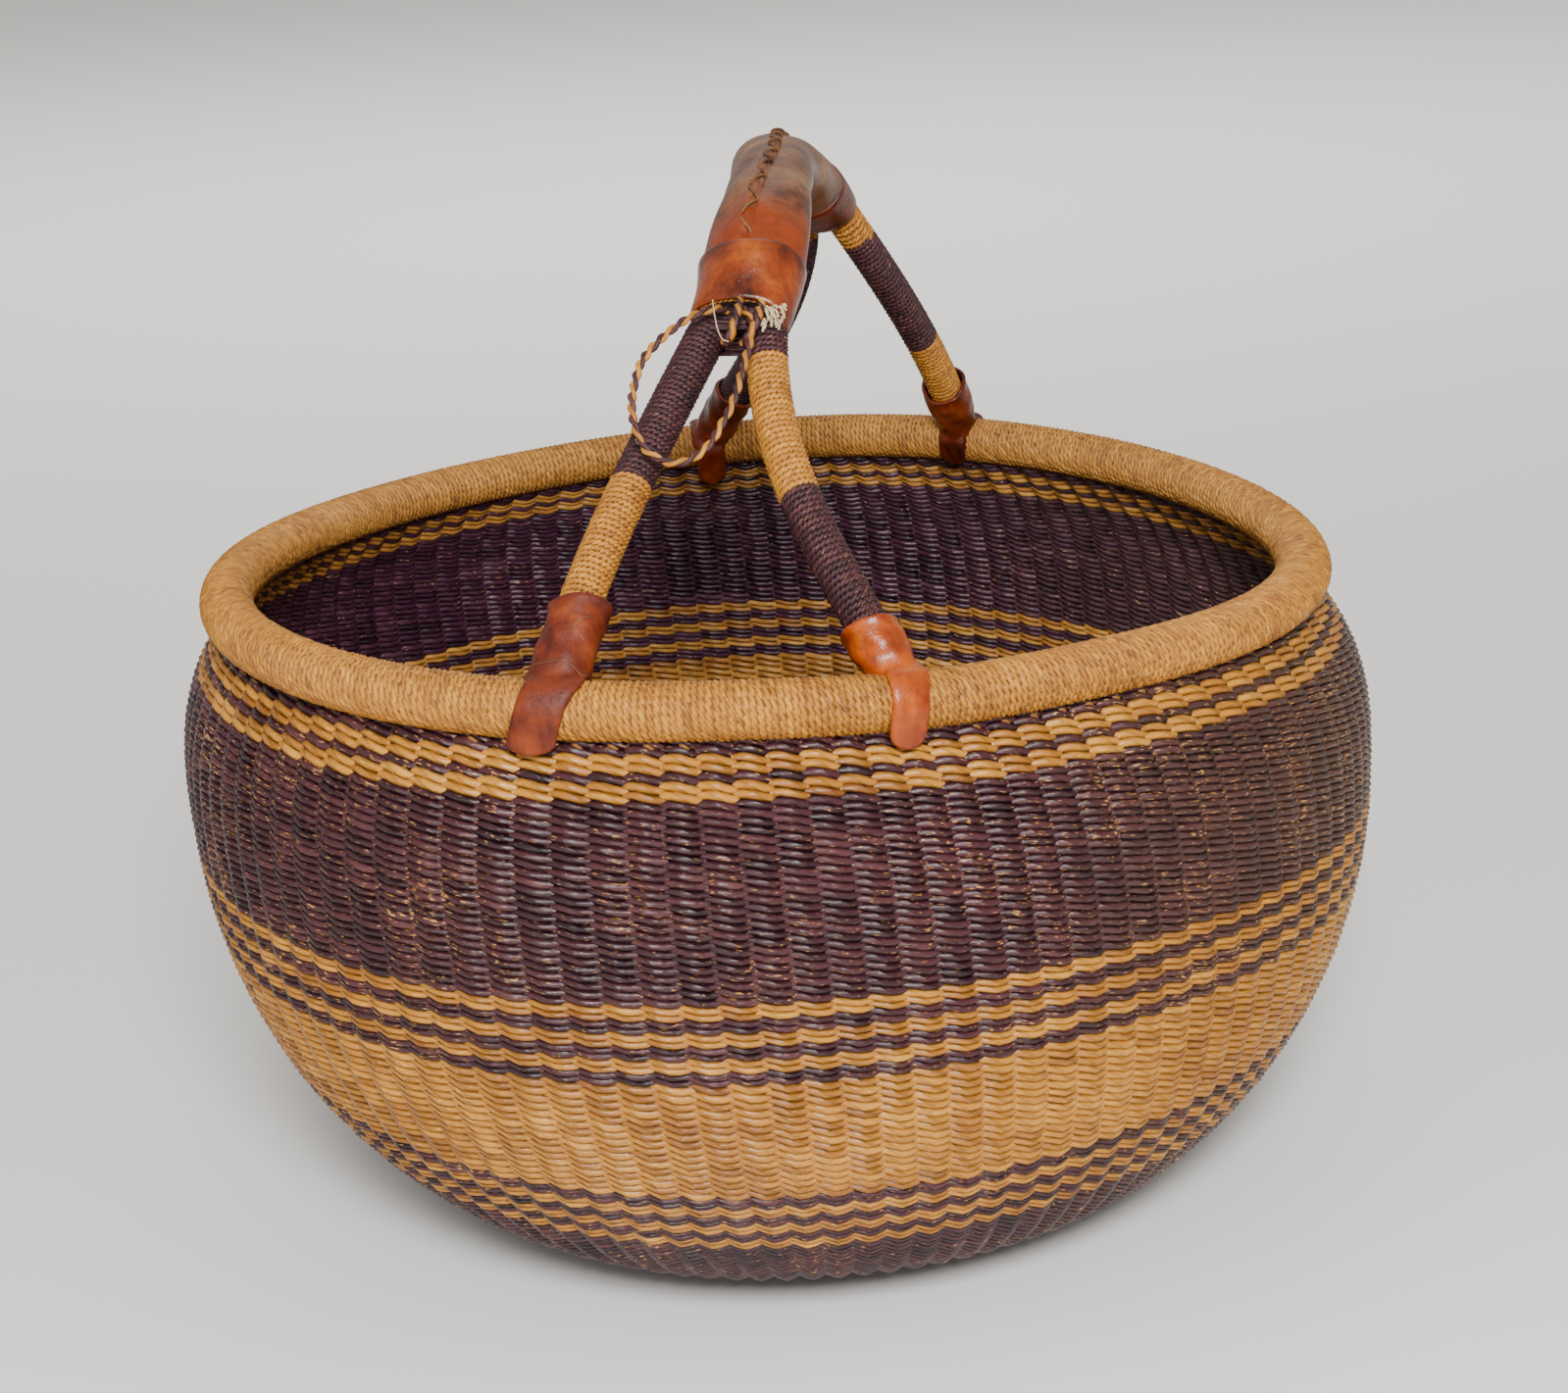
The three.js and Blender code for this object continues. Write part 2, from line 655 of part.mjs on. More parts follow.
// Woven body: the flat base, then bands of the wall up to the rim with their rows of facets
const baseEdge = baseRadius - clearance / 2;
const baseProfile = [[0, 0], [baseEdge, 0], [baseEdge, weaveThickness], [0, weaveThickness]];
place(body, 'base_weave', new THREE.LatheGeometry(
  baseProfile.map(([radius, height]) => new THREE.Vector2(radius, height)), aroundSteps)
  .rotateX(Math.PI / 2), purpleStraw);
const bandTop = (share) => alongAt(rimSeatHeight * share);
const wallBands = [
  ['foot_weave', bandTop(footTopShare), 3, purpleStraw],
  ['lower_purple_weave', bandTop(lowerPurpleTopShare), 3, purpleStraw],
  ['lower_stripes_weave', bandTop(lowerStripesTopShare), 1, stripedStraw],
  ['natural_belly_weave', bandTop(naturalTopShare), 3, straw],
  ['middle_stripes_weave', bandTop(middleStripesTopShare), 1, stripedStraw],
  ['purple_shoulder_weave', bandTop(purpleTopShare), 3, purpleStraw],
  ['upper_stripes_weave', wallTop(), 2, stripedStraw],
];
let bandStart = clearance / 2;
for (const [name, bandEnd, rows, finish] of wallBands) {
  place(body, name, wallBand(bandStart, bandEnd, rows), finish);
  bandStart = bandEnd;
}

place(rim, 'rim_core', loft(rimRings(circleSection(rimCoreSides, rimCoreRadius)), true), innerGrass);
place(rim, 'rim_binding', rimBinding(), straw);

for (const side of [-1, 1]) {
  place(handle, `${arches[side].name}_arch_core`, geometryOf(arches[side].core), innerGrass);
}
for (const leg of legs) {
  const legLength = lengthToMouth(leg);
  const boundLength = legLength - claspLength * claspShares[leg.name].length - clearance;
  let start = neckLength;
  for (const [colour, endShare] of leg.twineShares) {
    const stop = boundLength * endShare;
    const wound = winding(leg, legLength - stop, legLength - start);
    console.log(`${leg.name} ${colour}: ${wound.loops} loops, least gap to itself ${wound.gap.toFixed(2)} mm`);
    place(handle, `${leg.name}_${colour}_twine`, wound.geometry, colour.startsWith('purple') ? purpleStraw : straw);
    start = stop + clearance;
  }
  place(handle, `${leg.name}_clasp`, claspOf(leg), leg.end < 0 ? tanLeather : brownLeather);
}
place(handle, 'grip_packing', packing(), innerGrass);
const wrapperEnd = gripLength - farCuffLength;
place(handle, 'near_grip_cuff', gripSleeve(0, nearCuffLength - clearance / 2, cuffSteps), tanLeather);
place(handle, 'grip_wrapper', gripSleeve(nearCuffLength + clearance / 2, wrapperEnd - clearance / 2, gripSteps),
  tanLeather);
place(handle, 'far_grip_cuff', gripSleeve(wrapperEnd + clearance / 2, gripLength, cuffSteps), brownLeather);
place(handle, 'grip_lacing', lacing(), laceLeather);

loop.position.copy(hinge);
place(loop, 'hanging_loop', hangingLoop(), straw);

export default basket;
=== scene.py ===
# Bolga basket: a round market basket twined from twisted elephant grass, with a bound rim and an
# arched handle of two twine bound arches that meet in one leather grip. Metres, +Z up, with the
# origin in the middle of the base that it rests on and +Y away from the hanging loop.

import json
from math import asin, cos, pi, radians, sin, tau

import bpy
import numpy as np
from mathutils import Matrix, Vector
from mathutils.bvhtree import BVHTree


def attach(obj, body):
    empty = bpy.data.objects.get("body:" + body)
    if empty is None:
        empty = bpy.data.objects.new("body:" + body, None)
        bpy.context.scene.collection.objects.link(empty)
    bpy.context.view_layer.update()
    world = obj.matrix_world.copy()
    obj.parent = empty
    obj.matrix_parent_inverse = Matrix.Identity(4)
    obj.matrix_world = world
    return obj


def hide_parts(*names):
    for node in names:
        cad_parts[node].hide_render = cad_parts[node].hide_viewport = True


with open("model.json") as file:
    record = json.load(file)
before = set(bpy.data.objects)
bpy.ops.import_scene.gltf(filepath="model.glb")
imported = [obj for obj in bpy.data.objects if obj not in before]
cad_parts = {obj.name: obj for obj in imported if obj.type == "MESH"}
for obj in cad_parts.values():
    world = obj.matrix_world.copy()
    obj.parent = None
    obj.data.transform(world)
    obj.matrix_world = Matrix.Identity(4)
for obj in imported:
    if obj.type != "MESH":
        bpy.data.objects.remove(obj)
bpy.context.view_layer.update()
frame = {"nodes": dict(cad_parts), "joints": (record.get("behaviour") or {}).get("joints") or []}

# Camera: a little above the rim and about a metre from the middle of the basket, looking down
# over the near side into the bowl, as the photograph does
camera_place = Vector((-0.02766, -0.92480, 0.47756))
camera_forward = Vector((0.02818, 0.94987, -0.31139))
camera_right = Vector((0.99754, -0.04672, -0.05224))
camera_lens = 59.17
camera_sensor = 36.0


def added(name, data):
    """A new object in the scene."""
    obj = bpy.data.objects.new(name, data)
    bpy.context.scene.collection.objects.link(obj)
    return obj


camera_up = camera_right.cross(camera_forward)
camera_axes = Matrix((camera_right, camera_up, -camera_forward)).transposed()
camera = added("camera", bpy.data.cameras.new("camera"))
camera.matrix_world = Matrix.Translation(camera_place) @ camera_axes.to_4x4()
camera.data.sensor_fit = "HORIZONTAL"
camera.data.sensor_width = camera_sensor
camera.data.lens = camera_lens
bpy.context.scene.camera = camera

# Hanging loop: a free cord of one natural and one purple ply laid together. Both its ends are tied
# into the near end of the grip, and it hangs in front of the left front leg
cord_ply_radius = 0.00088
cord_lay = 0.0092
cord_sides = 6
cord_steps_per_lay = 9
grip_turn = radians(13.1)
grip_across = Vector((cos(grip_turn), -sin(grip_turn), 0))
knot_half_spacing = 0.0027
loop_hinge = Vector(frame["joints"][0]["pos_m"])
loop_route = [
    (-0.0185, -0.0865, 0.3370), (-0.0250, -0.0895, 0.3360), (-0.0315, -0.0925, 0.3330),
    (-0.0371, -0.0955, 0.3293), (-0.0428, -0.1004, 0.3242), (-0.0457, -0.1065, 0.3182),
    (-0.0470, -0.1125, 0.3125), (-0.0464, -0.1187, 0.3067), (-0.0443, -0.1243, 0.3015),
    (-0.0404, -0.1277, 0.2982), (-0.0338, -0.1297, 0.2963), (-0.0281, -0.1284, 0.2976),
    (-0.0235, -0.1254, 0.3004), (-0.0191, -0.1201, 0.3054), (-0.0151, -0.1143, 0.3109),
    (-0.0121, -0.1074, 0.3173), (-0.0094, -0.1002, 0.3232), (-0.0076, -0.0940, 0.3280),
    (-0.0068, -0.0885, 0.3326)]


def operator(operation, reflected=False):
    """An operator of Wire, which adds one Math node."""
    def apply(wire, *others):
        values = [*others, wire] if reflected else [wire, *others]
        return wire.garden.add("ShaderNodeMath", dict(operation=operation), values)
    return apply


class Wire:
    """A value in a node tree. Sums and products of wires add their Math nodes."""

    def __init__(self, garden, socket):
        self.garden = garden
        self.socket = socket

    __add__ = __radd__ = operator("ADD")
    __mul__ = __rmul__ = operator("MULTIPLY")
    __sub__ = operator("SUBTRACT")
    __rsub__ = operator("SUBTRACT", reflected=True)
    __truediv__ = operator("DIVIDE")
    __rtruediv__ = operator("DIVIDE", reflected=True)
    __pow__ = operator("POWER")
    __gt__ = operator("GREATER_THAN")
    __lt__ = operator("LESS_THAN")
    __abs__ = operator("ABSOLUTE")
    sin = operator("SINE")
    cos = operator("COSINE")
    floor = operator("FLOOR")
    fract = operator("FRACT")

    def held(self):
        """The value held between 0 and 1."""
        return self.garden.add("ShaderNodeMath", dict(operation="ADD", use_clamp=True), [self, 0.0])

    def out(self, name):
        """Another output of the node that this wire comes from."""
        return Wire(self.garden, self.socket.node.outputs[name])


class Garden:
    """A node tree under construction. Every node comes from add()."""

    def __init__(self, tree):
        self.tree = tree
        tree.nodes.clear()

    def add(self, kind, settings=None, values=()):
        """A node of that kind: its settings first, then the values or wires of its inputs."""
        node = self.tree.nodes.new(kind)
        for name, setting in (settings or {}).items():
            if name == "stops":
                elements = node.color_ramp.elements
                while len(elements) < len(setting):
                    elements.new(1.0)
                for element, (place, colour) in zip(elements, setting):
                    element.position = place
                    element.color = colour
            else:
                setattr(node, name, setting)
        named = values.items() if isinstance(values, dict) else enumerate(values)
        for key, value in named:
            for one in value if isinstance(value, list) else [value]:
                if isinstance(one, Wire):
                    self.tree.links.new(one.socket, node.inputs[key])
                else:
                    node.inputs[key].default_value = one
        shown = [socket for socket in node.outputs if socket.enabled]
        return Wire(self, shown[0]) if shown else node

    def vector(self, operation, *values):
        """Vector maths. A dot product gives a number."""
        wire = self.add("ShaderNodeVectorMath", dict(operation=operation), values)
        return wire.out("Value") if operation == "DOT_PRODUCT" else wire

    def scaled(self, vector, factor):
        """A vector or a colour times a number."""
        return self.add("ShaderNodeVectorMath", dict(operation="SCALE"), {0: vector, 3: factor})

    def mix(self, factor, one, two):
        """A colour between two others."""
        wire = self.add("ShaderNodeMix", dict(data_type="RGBA"), {0: factor, 6: one, 7: two})
        return Wire(self, wire.socket.node.outputs[2])

    def parts(self, vector):
        """The X of a vector, with its Y and Z as other outputs."""
        return self.add("ShaderNodeSeparateXYZ", {}, [vector])

    def chance(self, cell):
        """A random number for every whole cell."""
        return self.add("ShaderNodeTexWhiteNoise", dict(noise_dimensions="3D"), {"Vector": cell})

    def noise(self, vector, scale, detail=2.0, distortion=0.0):
        """Soft noise, from 0 to 1."""
        return self.add("ShaderNodeTexNoise", {}, {
            "Vector": vector, "Scale": scale, "Detail": detail, "Distortion": distortion})

    def tinted(self, tints, share):
        """The colour that lies this share of the way along a row of tints."""
        stops = [(number / (len(tints) - 1), rgb(tint)) for number, tint in enumerate(tints)]
        return self.add("ShaderNodeValToRGB", dict(stops=stops), [share])

    def bump(self, height, strength, distance):
        """A normal that follows the height of a fine relief."""
        return self.add("ShaderNodeBump", {}, {
            "Strength": strength, "Distance": distance, "Height": height})


def rgb(hex_colour):
    """A screen colour as the linear colour that materials take."""
    parts = [int(hex_colour[i:i + 2], 16) / 255 for i in (0, 2, 4)]
    return (*(p / 12.92 if p <= 0.04045 else ((p + 0.055) / 1.055) ** 2.4 for p in parts), 1.0)


def unit(vectors):
    return vectors / np.linalg.norm(vectors, axis=-1, keepdims=True)


def headings(paths):
    return unit(np.gradient(paths, axis=-2))


def lengths(path):
    """Distance along a path at each of its points."""
    return np.concatenate([[0], np.cumsum(np.linalg.norm(np.diff(path, axis=0), axis=1))])


def read_along(path, values, places):
    """What is known at the points of a path, read at distances along it."""
    along = lengths(path)
    return np.stack([np.interp(places, along, column) for column in values.T], axis=-1)


def respaced(path, step):
    """The same path with its points evenly spaced, about a step apart."""
    length = lengths(path)[-1]
    return read_along(path, path, np.linspace(0, length, max(2, round(length / step) + 1)))


def through(points, per_span):
    """Points on the centripetal curve through the given ones."""
    p = np.array(points, float)
    p = np.vstack([2 * p[0] - p[1], p, 2 * p[-1] - p[-2]])
    spans = []
    for first in range(len(p) - 3):
        mixed = list(p[first:first + 4])
        knots = np.cumsum([0, *np.linalg.norm(np.diff(mixed, axis=0), axis=1) ** 0.5])
        t = np.linspace(knots[1], knots[2], per_span, endpoint=False)[:, None]
        for starts, stops in ((knots[:3], knots[1:]), (knots[:2], knots[2:]), (knots[1:2], knots[2:3])):
            mixed = [((stop - t) * one + (t - start) * two) / (stop - start)
                     for start, stop, one, two in zip(starts, stops, mixed, mixed[1:])]
        spans.append(mixed[0])
    return np.vstack(spans + [p[-2:-1]])


def piece(mesh, finish=None, body="basket", stands_for=()):
    """A finished mesh as an object of the same name that rides on a body of the frame."""
    obj = added(mesh.name, mesh)
    if finish:
        mesh.materials.clear()
        mesh.materials.append(finish)
    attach(obj, body)
    if stands_for:
        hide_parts(*stands_for)
    return obj


def marked(mesh, name, values):
    """The mesh with a number at each of its points."""
    flat = np.broadcast_to(np.asarray(values, float), len(mesh.vertices)).copy()
    mesh.attributes.new(name, "FLOAT", "POINT").data.foreach_set("value", flat)
    return mesh


def guide_mesh(name, rows, closed, **numbers):
    """Lines for strands to follow. Every row is an array of points, and the numbers go along."""
    rows = np.asarray(rows, float)
    shape = rows.shape[:2]
    index = np.arange(rows.size // 3).reshape(shape)
    ends = np.roll(index, -1, axis=1)
    if not closed:
        index, ends = index[:, :-1], ends[:, :-1]
    mesh = bpy.data.meshes.new(name)
    mesh.from_pydata(rows.reshape(-1, 3).tolist(), np.stack([index, ends], -1).reshape(-1, 2).tolist(), [])
    for key, values in numbers.items():
        values = np.asarray(values, float)
        if values.ndim == 3:
            mesh.attributes.new(key, "FLOAT_VECTOR", "POINT").data.foreach_set("vector", values.ravel())
        else:
            marked(mesh, key, np.broadcast_to(values, shape).ravel())
    return mesh


second_ply_mark = 7.0


def twisted_strands():
    """Node tree: two strands that turn about each other along every guide line."""
    tree = bpy.data.node_groups.new("twisted_strands", "GeometryNodeTree")
    kinds = dict(Guide="Geometry", ReachOut="Float", ReachUp="Float", ThickOut="Float", ThickUp="Float",
                 CrestShare="Float", CrestPower="Float", Unevenness="Float", Sides="Int", Look="Material")
    for key, kind in kinds.items():
        tree.interface.new_socket(key, in_out="INPUT", socket_type="NodeSocket" + kind)
    tree.interface.new_socket("Strands", in_out="OUTPUT", socket_type="NodeSocketGeometry")
    g = Garden(tree)
    given = g.add("NodeGroupInput")
    sides = given.out("Sides")

    def named(name, kind="FLOAT"):
        return g.add("GeometryNodeInputNamedAttribute", dict(data_type=kind), {"Name": name})

    def stored(geometry, name, value, kind="FLOAT_VECTOR"):
        return g.add("GeometryNodeStoreNamedAttribute", dict(data_type=kind, domain="POINT"),
                     {"Geometry": geometry, "Name": name, "Value": value})

    guide = stored(given.out("Guide"), "middle", g.add("GeometryNodeInputPosition"))
    lines = g.add("GeometryNodeMeshToCurve", {}, {"Mesh": guide})
    ring = g.add("GeometryNodeCurvePrimitiveCircle", {}, {"Resolution": sides, "Radius": 0.001})
    profile = stored(ring, "angle", g.add("GeometryNodeInputIndex") * tau / sides, "FLOAT")
    tube = g.add("GeometryNodeCurveToMesh", {}, {"Curve": lines, "Profile Curve": profile})
    middle, out, up = [named(name, "FLOAT_VECTOR") for name in ("middle", "out", "up")]
    angle, row = named("angle"), named("row")
    both = []
    for ply in (0, 1):
        phase = named("phase") + ply * pi
        crossing = phase / pi
        mark = ply * second_ply_mark
        stitch = g.add("ShaderNodeCombineXYZ", {}, [crossing, row, mark])
        chance = g.chance(g.add("ShaderNodeCombineXYZ", {}, [crossing.floor(), row, mark]))
        uneven = (chance - 0.5) * given.out("Unevenness") + 1
        crest = 1 - given.out("CrestShare") * (1 - abs(phase.sin()))
        wave = phase.sin() * abs(phase.sin()) ** given.out("CrestPower")
        far = given.out("ReachOut") * wave + given.out("ThickOut") * angle.cos() * uneven
        high = given.out("ReachUp") * phase.cos() + given.out("ThickUp") * angle.sin() * crest * uneven
        place = g.vector("ADD", g.vector("ADD", middle, g.scaled(out, far)), g.scaled(up, high))
        strand = g.add("GeometryNodeSetPosition", {}, {"Geometry": tube, "Position": place})
        strand = stored(strand, "stitch", stitch)
        grain = g.add("ShaderNodeCombineXYZ", {}, [named("length"), angle.cos(), angle.sin()])
        both.append(stored(strand, "grain", grain))
    joined = g.add("GeometryNodeJoinGeometry", {}, {"Geometry": both})
    smooth = g.add("GeometryNodeSetShadeSmooth", {}, {"Geometry": joined})
    real = g.add("GeometryNodeRealizeInstances", {}, {"Geometry": smooth})
    finished = g.add("GeometryNodeSetMaterial", {}, {"Geometry": real, "Material": given.out("Look")})
    g.add("NodeGroupOutput", {}, {"Strands": finished})
    return tree


def as_modified(obj):
    """The plain mesh that an object's modifiers make of its own. The object goes."""
    depsgraph = bpy.context.evaluated_depsgraph_get()
    made = bpy.data.meshes.new_from_object(
        obj.evaluated_get(depsgraph), preserve_all_data_layers=True, depsgraph=depsgraph)
    source = obj.data
    name = source.name
    bpy.data.objects.remove(obj)
    bpy.data.meshes.remove(source)
    made.name = name
    return made


def grown(guide, **inputs):
    """The plain mesh of twisted strands that grows from a guide."""
    obj = added(guide.name, guide)
    grow = obj.modifiers.new("grow", "NODES")
    grow.node_group = strand_tree
    sockets = {item.name: item.identifier for item in strand_tree.interface.items_tree}
    for key, value in inputs.items():
        grow[sockets[key]] = value
    return as_modified(obj)


def twine(name, path, out, dye, lay, ply, row, reach=(0.6, 0.85), thick=(1.1, 1.8), wander=1.5, sides=4):
    """Two-ply twine laid along a path, with out pointing away from what it is bound round. Its plies
    reach out and up, and are thick, by these shares of a ply's radius."""
    along = lengths(path)
    heading = headings(path)
    out = unit(out - heading * np.sum(out * heading, axis=1, keepdims=True))
    slack = wander * (np.sin(along * 91) + np.sin(along * 37 + 1) + 0.6 * np.sin(along * 233))
    guide = guide_mesh(name, [path], False, out=[out], up=[np.cross(heading, out)],
                       phase=[tau * along / lay + slack], length=[along], row=row, dye=[dye])
    return grown(guide, ReachOut=ply * reach[0], ReachUp=ply * reach[1], ThickOut=ply * thick[0],
                 ThickUp=ply * thick[1], Unevenness=0.15, Sides=sides, Look=twine_look)


def look(name):
    """A new material and the garden of its nodes."""
    material = bpy.data.materials.new(name)
    material.use_nodes = True
    return material, Garden(material.node_tree)


def dressed(g, colour, roughness, bump=None, specular=0.35, coat=0.0):
    """Ends a material with its shader."""
    values = {"Base Color": colour, "Roughness": roughness, "Specular IOR Level": specular,
              "Coat Weight": coat, "Coat Roughness": 0.25}
    if bump is not None:
        values["Normal"] = bump
    shader = g.add("ShaderNodeBsdfPrincipled", {}, values)
    g.add("ShaderNodeOutputMaterial", {}, {"Surface": shader})


natural_tints = ["6e401a", "98601e", "b47826", "c68c36"]
purple_tints = ["1c0c11", "30151a", "442024", "5a3332"]
faded_tint, fleck_tint = "4c3626", "d0a05c"
faded_from = 0.06
blade_twist = 3.6
fleck_level, fleck_sharpness = 0.69, 14
# Faces turned inwards below this height get the painted shade tint
shade_tint_below = 0.245
one_ply_of_each = 2.0


def straw_look(name, fleck_share, groove=0.0, edge_shade=0.2, roughness=0.42):
    """Twisted elephant grass. The natural and the dyed tints shift from patch to patch, each strand
    may show the groove between its own two blades, and dyed strands have undyed flecks. Painted
    shade darkens the groove and the upper and lower edges of each strand, and faces turned inwards
    get a cooler, paler tint as painted shade."""
    material, g = look(name)
    place = g.add("ShaderNodeTexCoord").out("Object")
    spot = g.parts(place)
    stitch, grain, dye = [g.add("ShaderNodeAttribute", dict(attribute_name=carried)).out(output)
                          for carried, output in (("stitch", "Vector"), ("grain", "Vector"), ("dye", "Fac"))]
    cell = g.vector("FLOOR", g.vector("ADD", stitch, (0, 0.01, 0.01)))
    chance = g.chance(cell)
    other = g.chance(g.vector("ADD", cell, (17.3, 4.1, 9.7)))

    def along_strands(stretch, shift, scale, detail):
        """Noise drawn out along the strands, new in every stitch."""
        drawn = g.vector("MULTIPLY", grain, stretch)
        return g.noise(g.vector("ADD", drawn, g.scaled(cell, shift)), scale, detail)

    fibres = along_strands((140, 1.6, 1.6), 3.7, 2.2, 3.0)
    streaks = along_strands((460, 1.9, 1.9), 7.7, 1.0, 1.5)
    patches = g.noise(place, 38.0)
    strand = g.noise(g.vector("MULTIPLY", stitch, (0.17, 5.37, 3.1)), 1.0)
    share = (strand * 1.3 + chance * 0.3 + patches * 0.6 - 0.6).held()
    pale, dark = g.tinted(natural_tints, share), g.tinted(purple_tints, share)
    faded = ((spot - faded_from) * 8).held() * 0.6
    dark = g.mix(faded, dark, rgb(faded_tint))

    crossing = g.parts(stitch)
    halved = dye > (1 + one_ply_of_each) / 2
    dyed = halved * (crossing.out("Z") > second_ply_mark / 2) + (1 - halved) * dye
    normal = g.add("ShaderNodeNewGeometry").out("Normal")
    outward = g.vector("DOT_PRODUCT", normal, g.vector("MULTIPLY", place, (1, 1, 0)))
    many = ((patches - 0.25) * 2.5).held() * (abs(spot) * 4 + 0.5).held() * fleck_share
    many = many * ((outward > 0) * 0.6 + 0.4)
    fleck = ((streaks - fleck_level + many * 0.11) * fleck_sharpness).held() * (0.5 + other * 0.5)
    dyed = (dyed * (1 - fleck)).held()
    pale = g.mix(fleck * 0.7, pale, rgb(fleck_tint))

    across = g.parts(grain)
    turned = g.add("ShaderNodeMath", dict(operation="ARCTAN2"), [across.out("Z"), across.out("Y")])
    # The groove between a strand's two blades is a bump and is also painted darker: painted shade in the
    # groove
    ridge = abs((turned + crossing.fract() * blade_twist + chance * 2).sin()) ** 0.5
    ridge = ridge * groove + (1 - groove)
    # Painted shade: the upper and lower edges of each strand are darkened, for the shade in the lines
    # between rows
    seam = (abs(across.out("Y")) * 2.2).held()
    shade = (fibres * 0.8 + 0.6) * (ridge * 0.4 + 0.6) * (seam * edge_shade + (1 - edge_shade))
    # Painted shade: faces turned inwards get more green and blue, a cooler and paler tint that stands for
    # the shade inside the bowl
    inside = (0.5 - outward * 5).held() * (spot.out("Z") < shade_tint_below)
    shades = g.add("ShaderNodeCombineXYZ", {}, [
        shade, shade * (inside * 0.1 + 1), shade * (inside * 0.9 + 1)])
    colour = g.vector("MULTIPLY", g.mix(dyed, pale, dark), shades)
    bump = g.bump(fibres * 0.6 + ridge * 0.8, 0.6, 0.0005)
    dressed(g, colour, roughness + fibres * 0.25, bump, specular=0.38)
    return material


strand_tree = twisted_strands()
twine_look = straw_look("natural_and_purple_twine", 0.2)

loop_ends = [loop_hinge + grip_across * knot_half_spacing * side for side in (-1, 1)]
loop_path = respaced(through([loop_ends[0], *loop_route, loop_ends[1]], 24), cord_lay / cord_steps_per_lay)
loop_out = np.cross(headings(loop_path), (0.3, 0.4, 1.0))
loop_mesh = twine("hanging_loop_cord", loop_path, loop_out, one_ply_of_each, cord_lay, cord_ply_radius, 0.0,
                  reach=(0.8, 0.8), thick=(1, 1), wander=0, sides=cord_sides)
hanging_loop = piece(loop_mesh, body="loop", stands_for=["hanging_loop"])

# Woven body: one continuous piece of weaving from the middle of the base up to the rim. Two strands
# of grass twine about every upright stake, row on row, and rows of dyed grass make the stripes
body_radius = 0.215
girth_height = 0.1496
base_radius = 0.088
rim_seat_height = 0.2255
belly_power = 2.0
belly_round = 2.09
rim_circle_radius = 0.190
shoulder_power = 3.19
oval_share, oval_turn = -0.0246, radians(-97.2)
three_corner_share, three_corner_turn = 0.05, radians(-7.0)
rim_lean_left, rim_lean_back = 0.012, 0.0019
side_tilt_share, row_tilt_share = -0.018, 0.053
rim_wave_two, rim_wave_two_turn = 0.0053, radians(47.1)
rim_wave_three, rim_wave_three_turn = 0.0019, radians(-56.8)
rim_sag, rim_sag_turn, rim_sag_width = 0.0024, radians(288), radians(17)
flat_foot_share = 0.15
section_steps = 900
slope_step = 0.0006
facing_step = 0.0004
stake_count = 112
stake_radius = 0.0015
stake_steps = 40
steps_per_stake = 4
weave_depth = 0.0027
strand_reach = 0.0018
strand_half_thickness = 0.0008
strand_sides = 4
row_overlap = 1.2
row_radius = 0.2
strand_drop = 0.29


def circle(count):
    """Angles evenly spaced round a circle."""
    return tau * np.arange(count) / count


def settle(azimuth, radius, height):
    """A point of the true round basket at its place on the hand-made one."""
    up = np.clip(height / rim_seat_height, 0, 1)
    oval = oval_share * np.cos(2 * (azimuth - oval_turn))
    corners = three_corner_share * np.cos(3 * (azimuth - three_corner_turn))
    reach = radius * (1 + up * (oval + corners))
    x = reach * np.cos(azimuth) - rim_lean_left * up
    y = reach * np.sin(azimuth) + rim_lean_back * up
    foot = np.clip(up / flat_foot_share, 0, 1)
    lifted = foot * foot * (3 - 2 * foot)
    tilt = side_tilt_share * x + row_tilt_share * (1 - up) * y
    wave = (rim_wave_two * np.cos(2 * (azimuth - rim_wave_two_turn))
            + rim_wave_three * np.cos(3 * (azimuth - rim_wave_three_turn)))
    aside = (azimuth - rim_sag_turn + pi) % tau - pi
    wave = wave - rim_sag * np.exp(-(aside / rim_sag_width) ** 2)
    return np.stack([x, y, height + lifted * tilt + up * up * wave], axis=-1)


def radius_at(height):
    low = np.clip(1 - height / girth_height, 0, 1)
    belly = base_radius + (body_radius - base_radius) * (1 - low ** belly_power) ** (1 / belly_round)
    high = np.clip((height - girth_height) / (rim_seat_height - girth_height), 0, 1)
    shoulder = body_radius - (body_radius - rim_circle_radius) * high ** shoulder_power
    return np.where(height <= girth_height, belly, shoulder)


wall_heights = rim_seat_height * np.linspace(0, 1, section_steps) ** 2
section = np.concatenate([[[0.0, 0.0]], np.stack([radius_at(wall_heights), wall_heights], axis=1)])


def along_at(height):
    return float(np.interp(height, section[1:, 1], lengths(section)[1:]))


def wall_point(azimuth, along, depth):
    """A point in the weave: distance along the section from the middle of the base, depth inwards."""
    here, ahead, back = [read_along(section, section, along + step) for step in (0, slope_step, -slope_step)]
    slope = unit(ahead - back)
    return settle(azimuth, here[..., 0] - slope[..., 1] * depth, here[..., 1] + slope[..., 0] * depth)


weave_look = straw_look("woven_elephant_grass", 1.0, groove=1.0, edge_shade=0.6, roughness=0.22)
natural, purple = 0, 1
pair_up = [natural, natural, purple, purple]
pair_down = [purple, purple, natural, natural]
foot_top, lower_purple_top, lower_stripes_top, natural_top, middle_stripes_top, shoulder_top = [
    along_at(rim_seat_height * share) for share in (0.0532, 0.2284, 0.337, 0.5358, 0.653, 0.9202)]
weave_top = along_at(0.2235)
foot_split = 0.115
band_start = 0.003
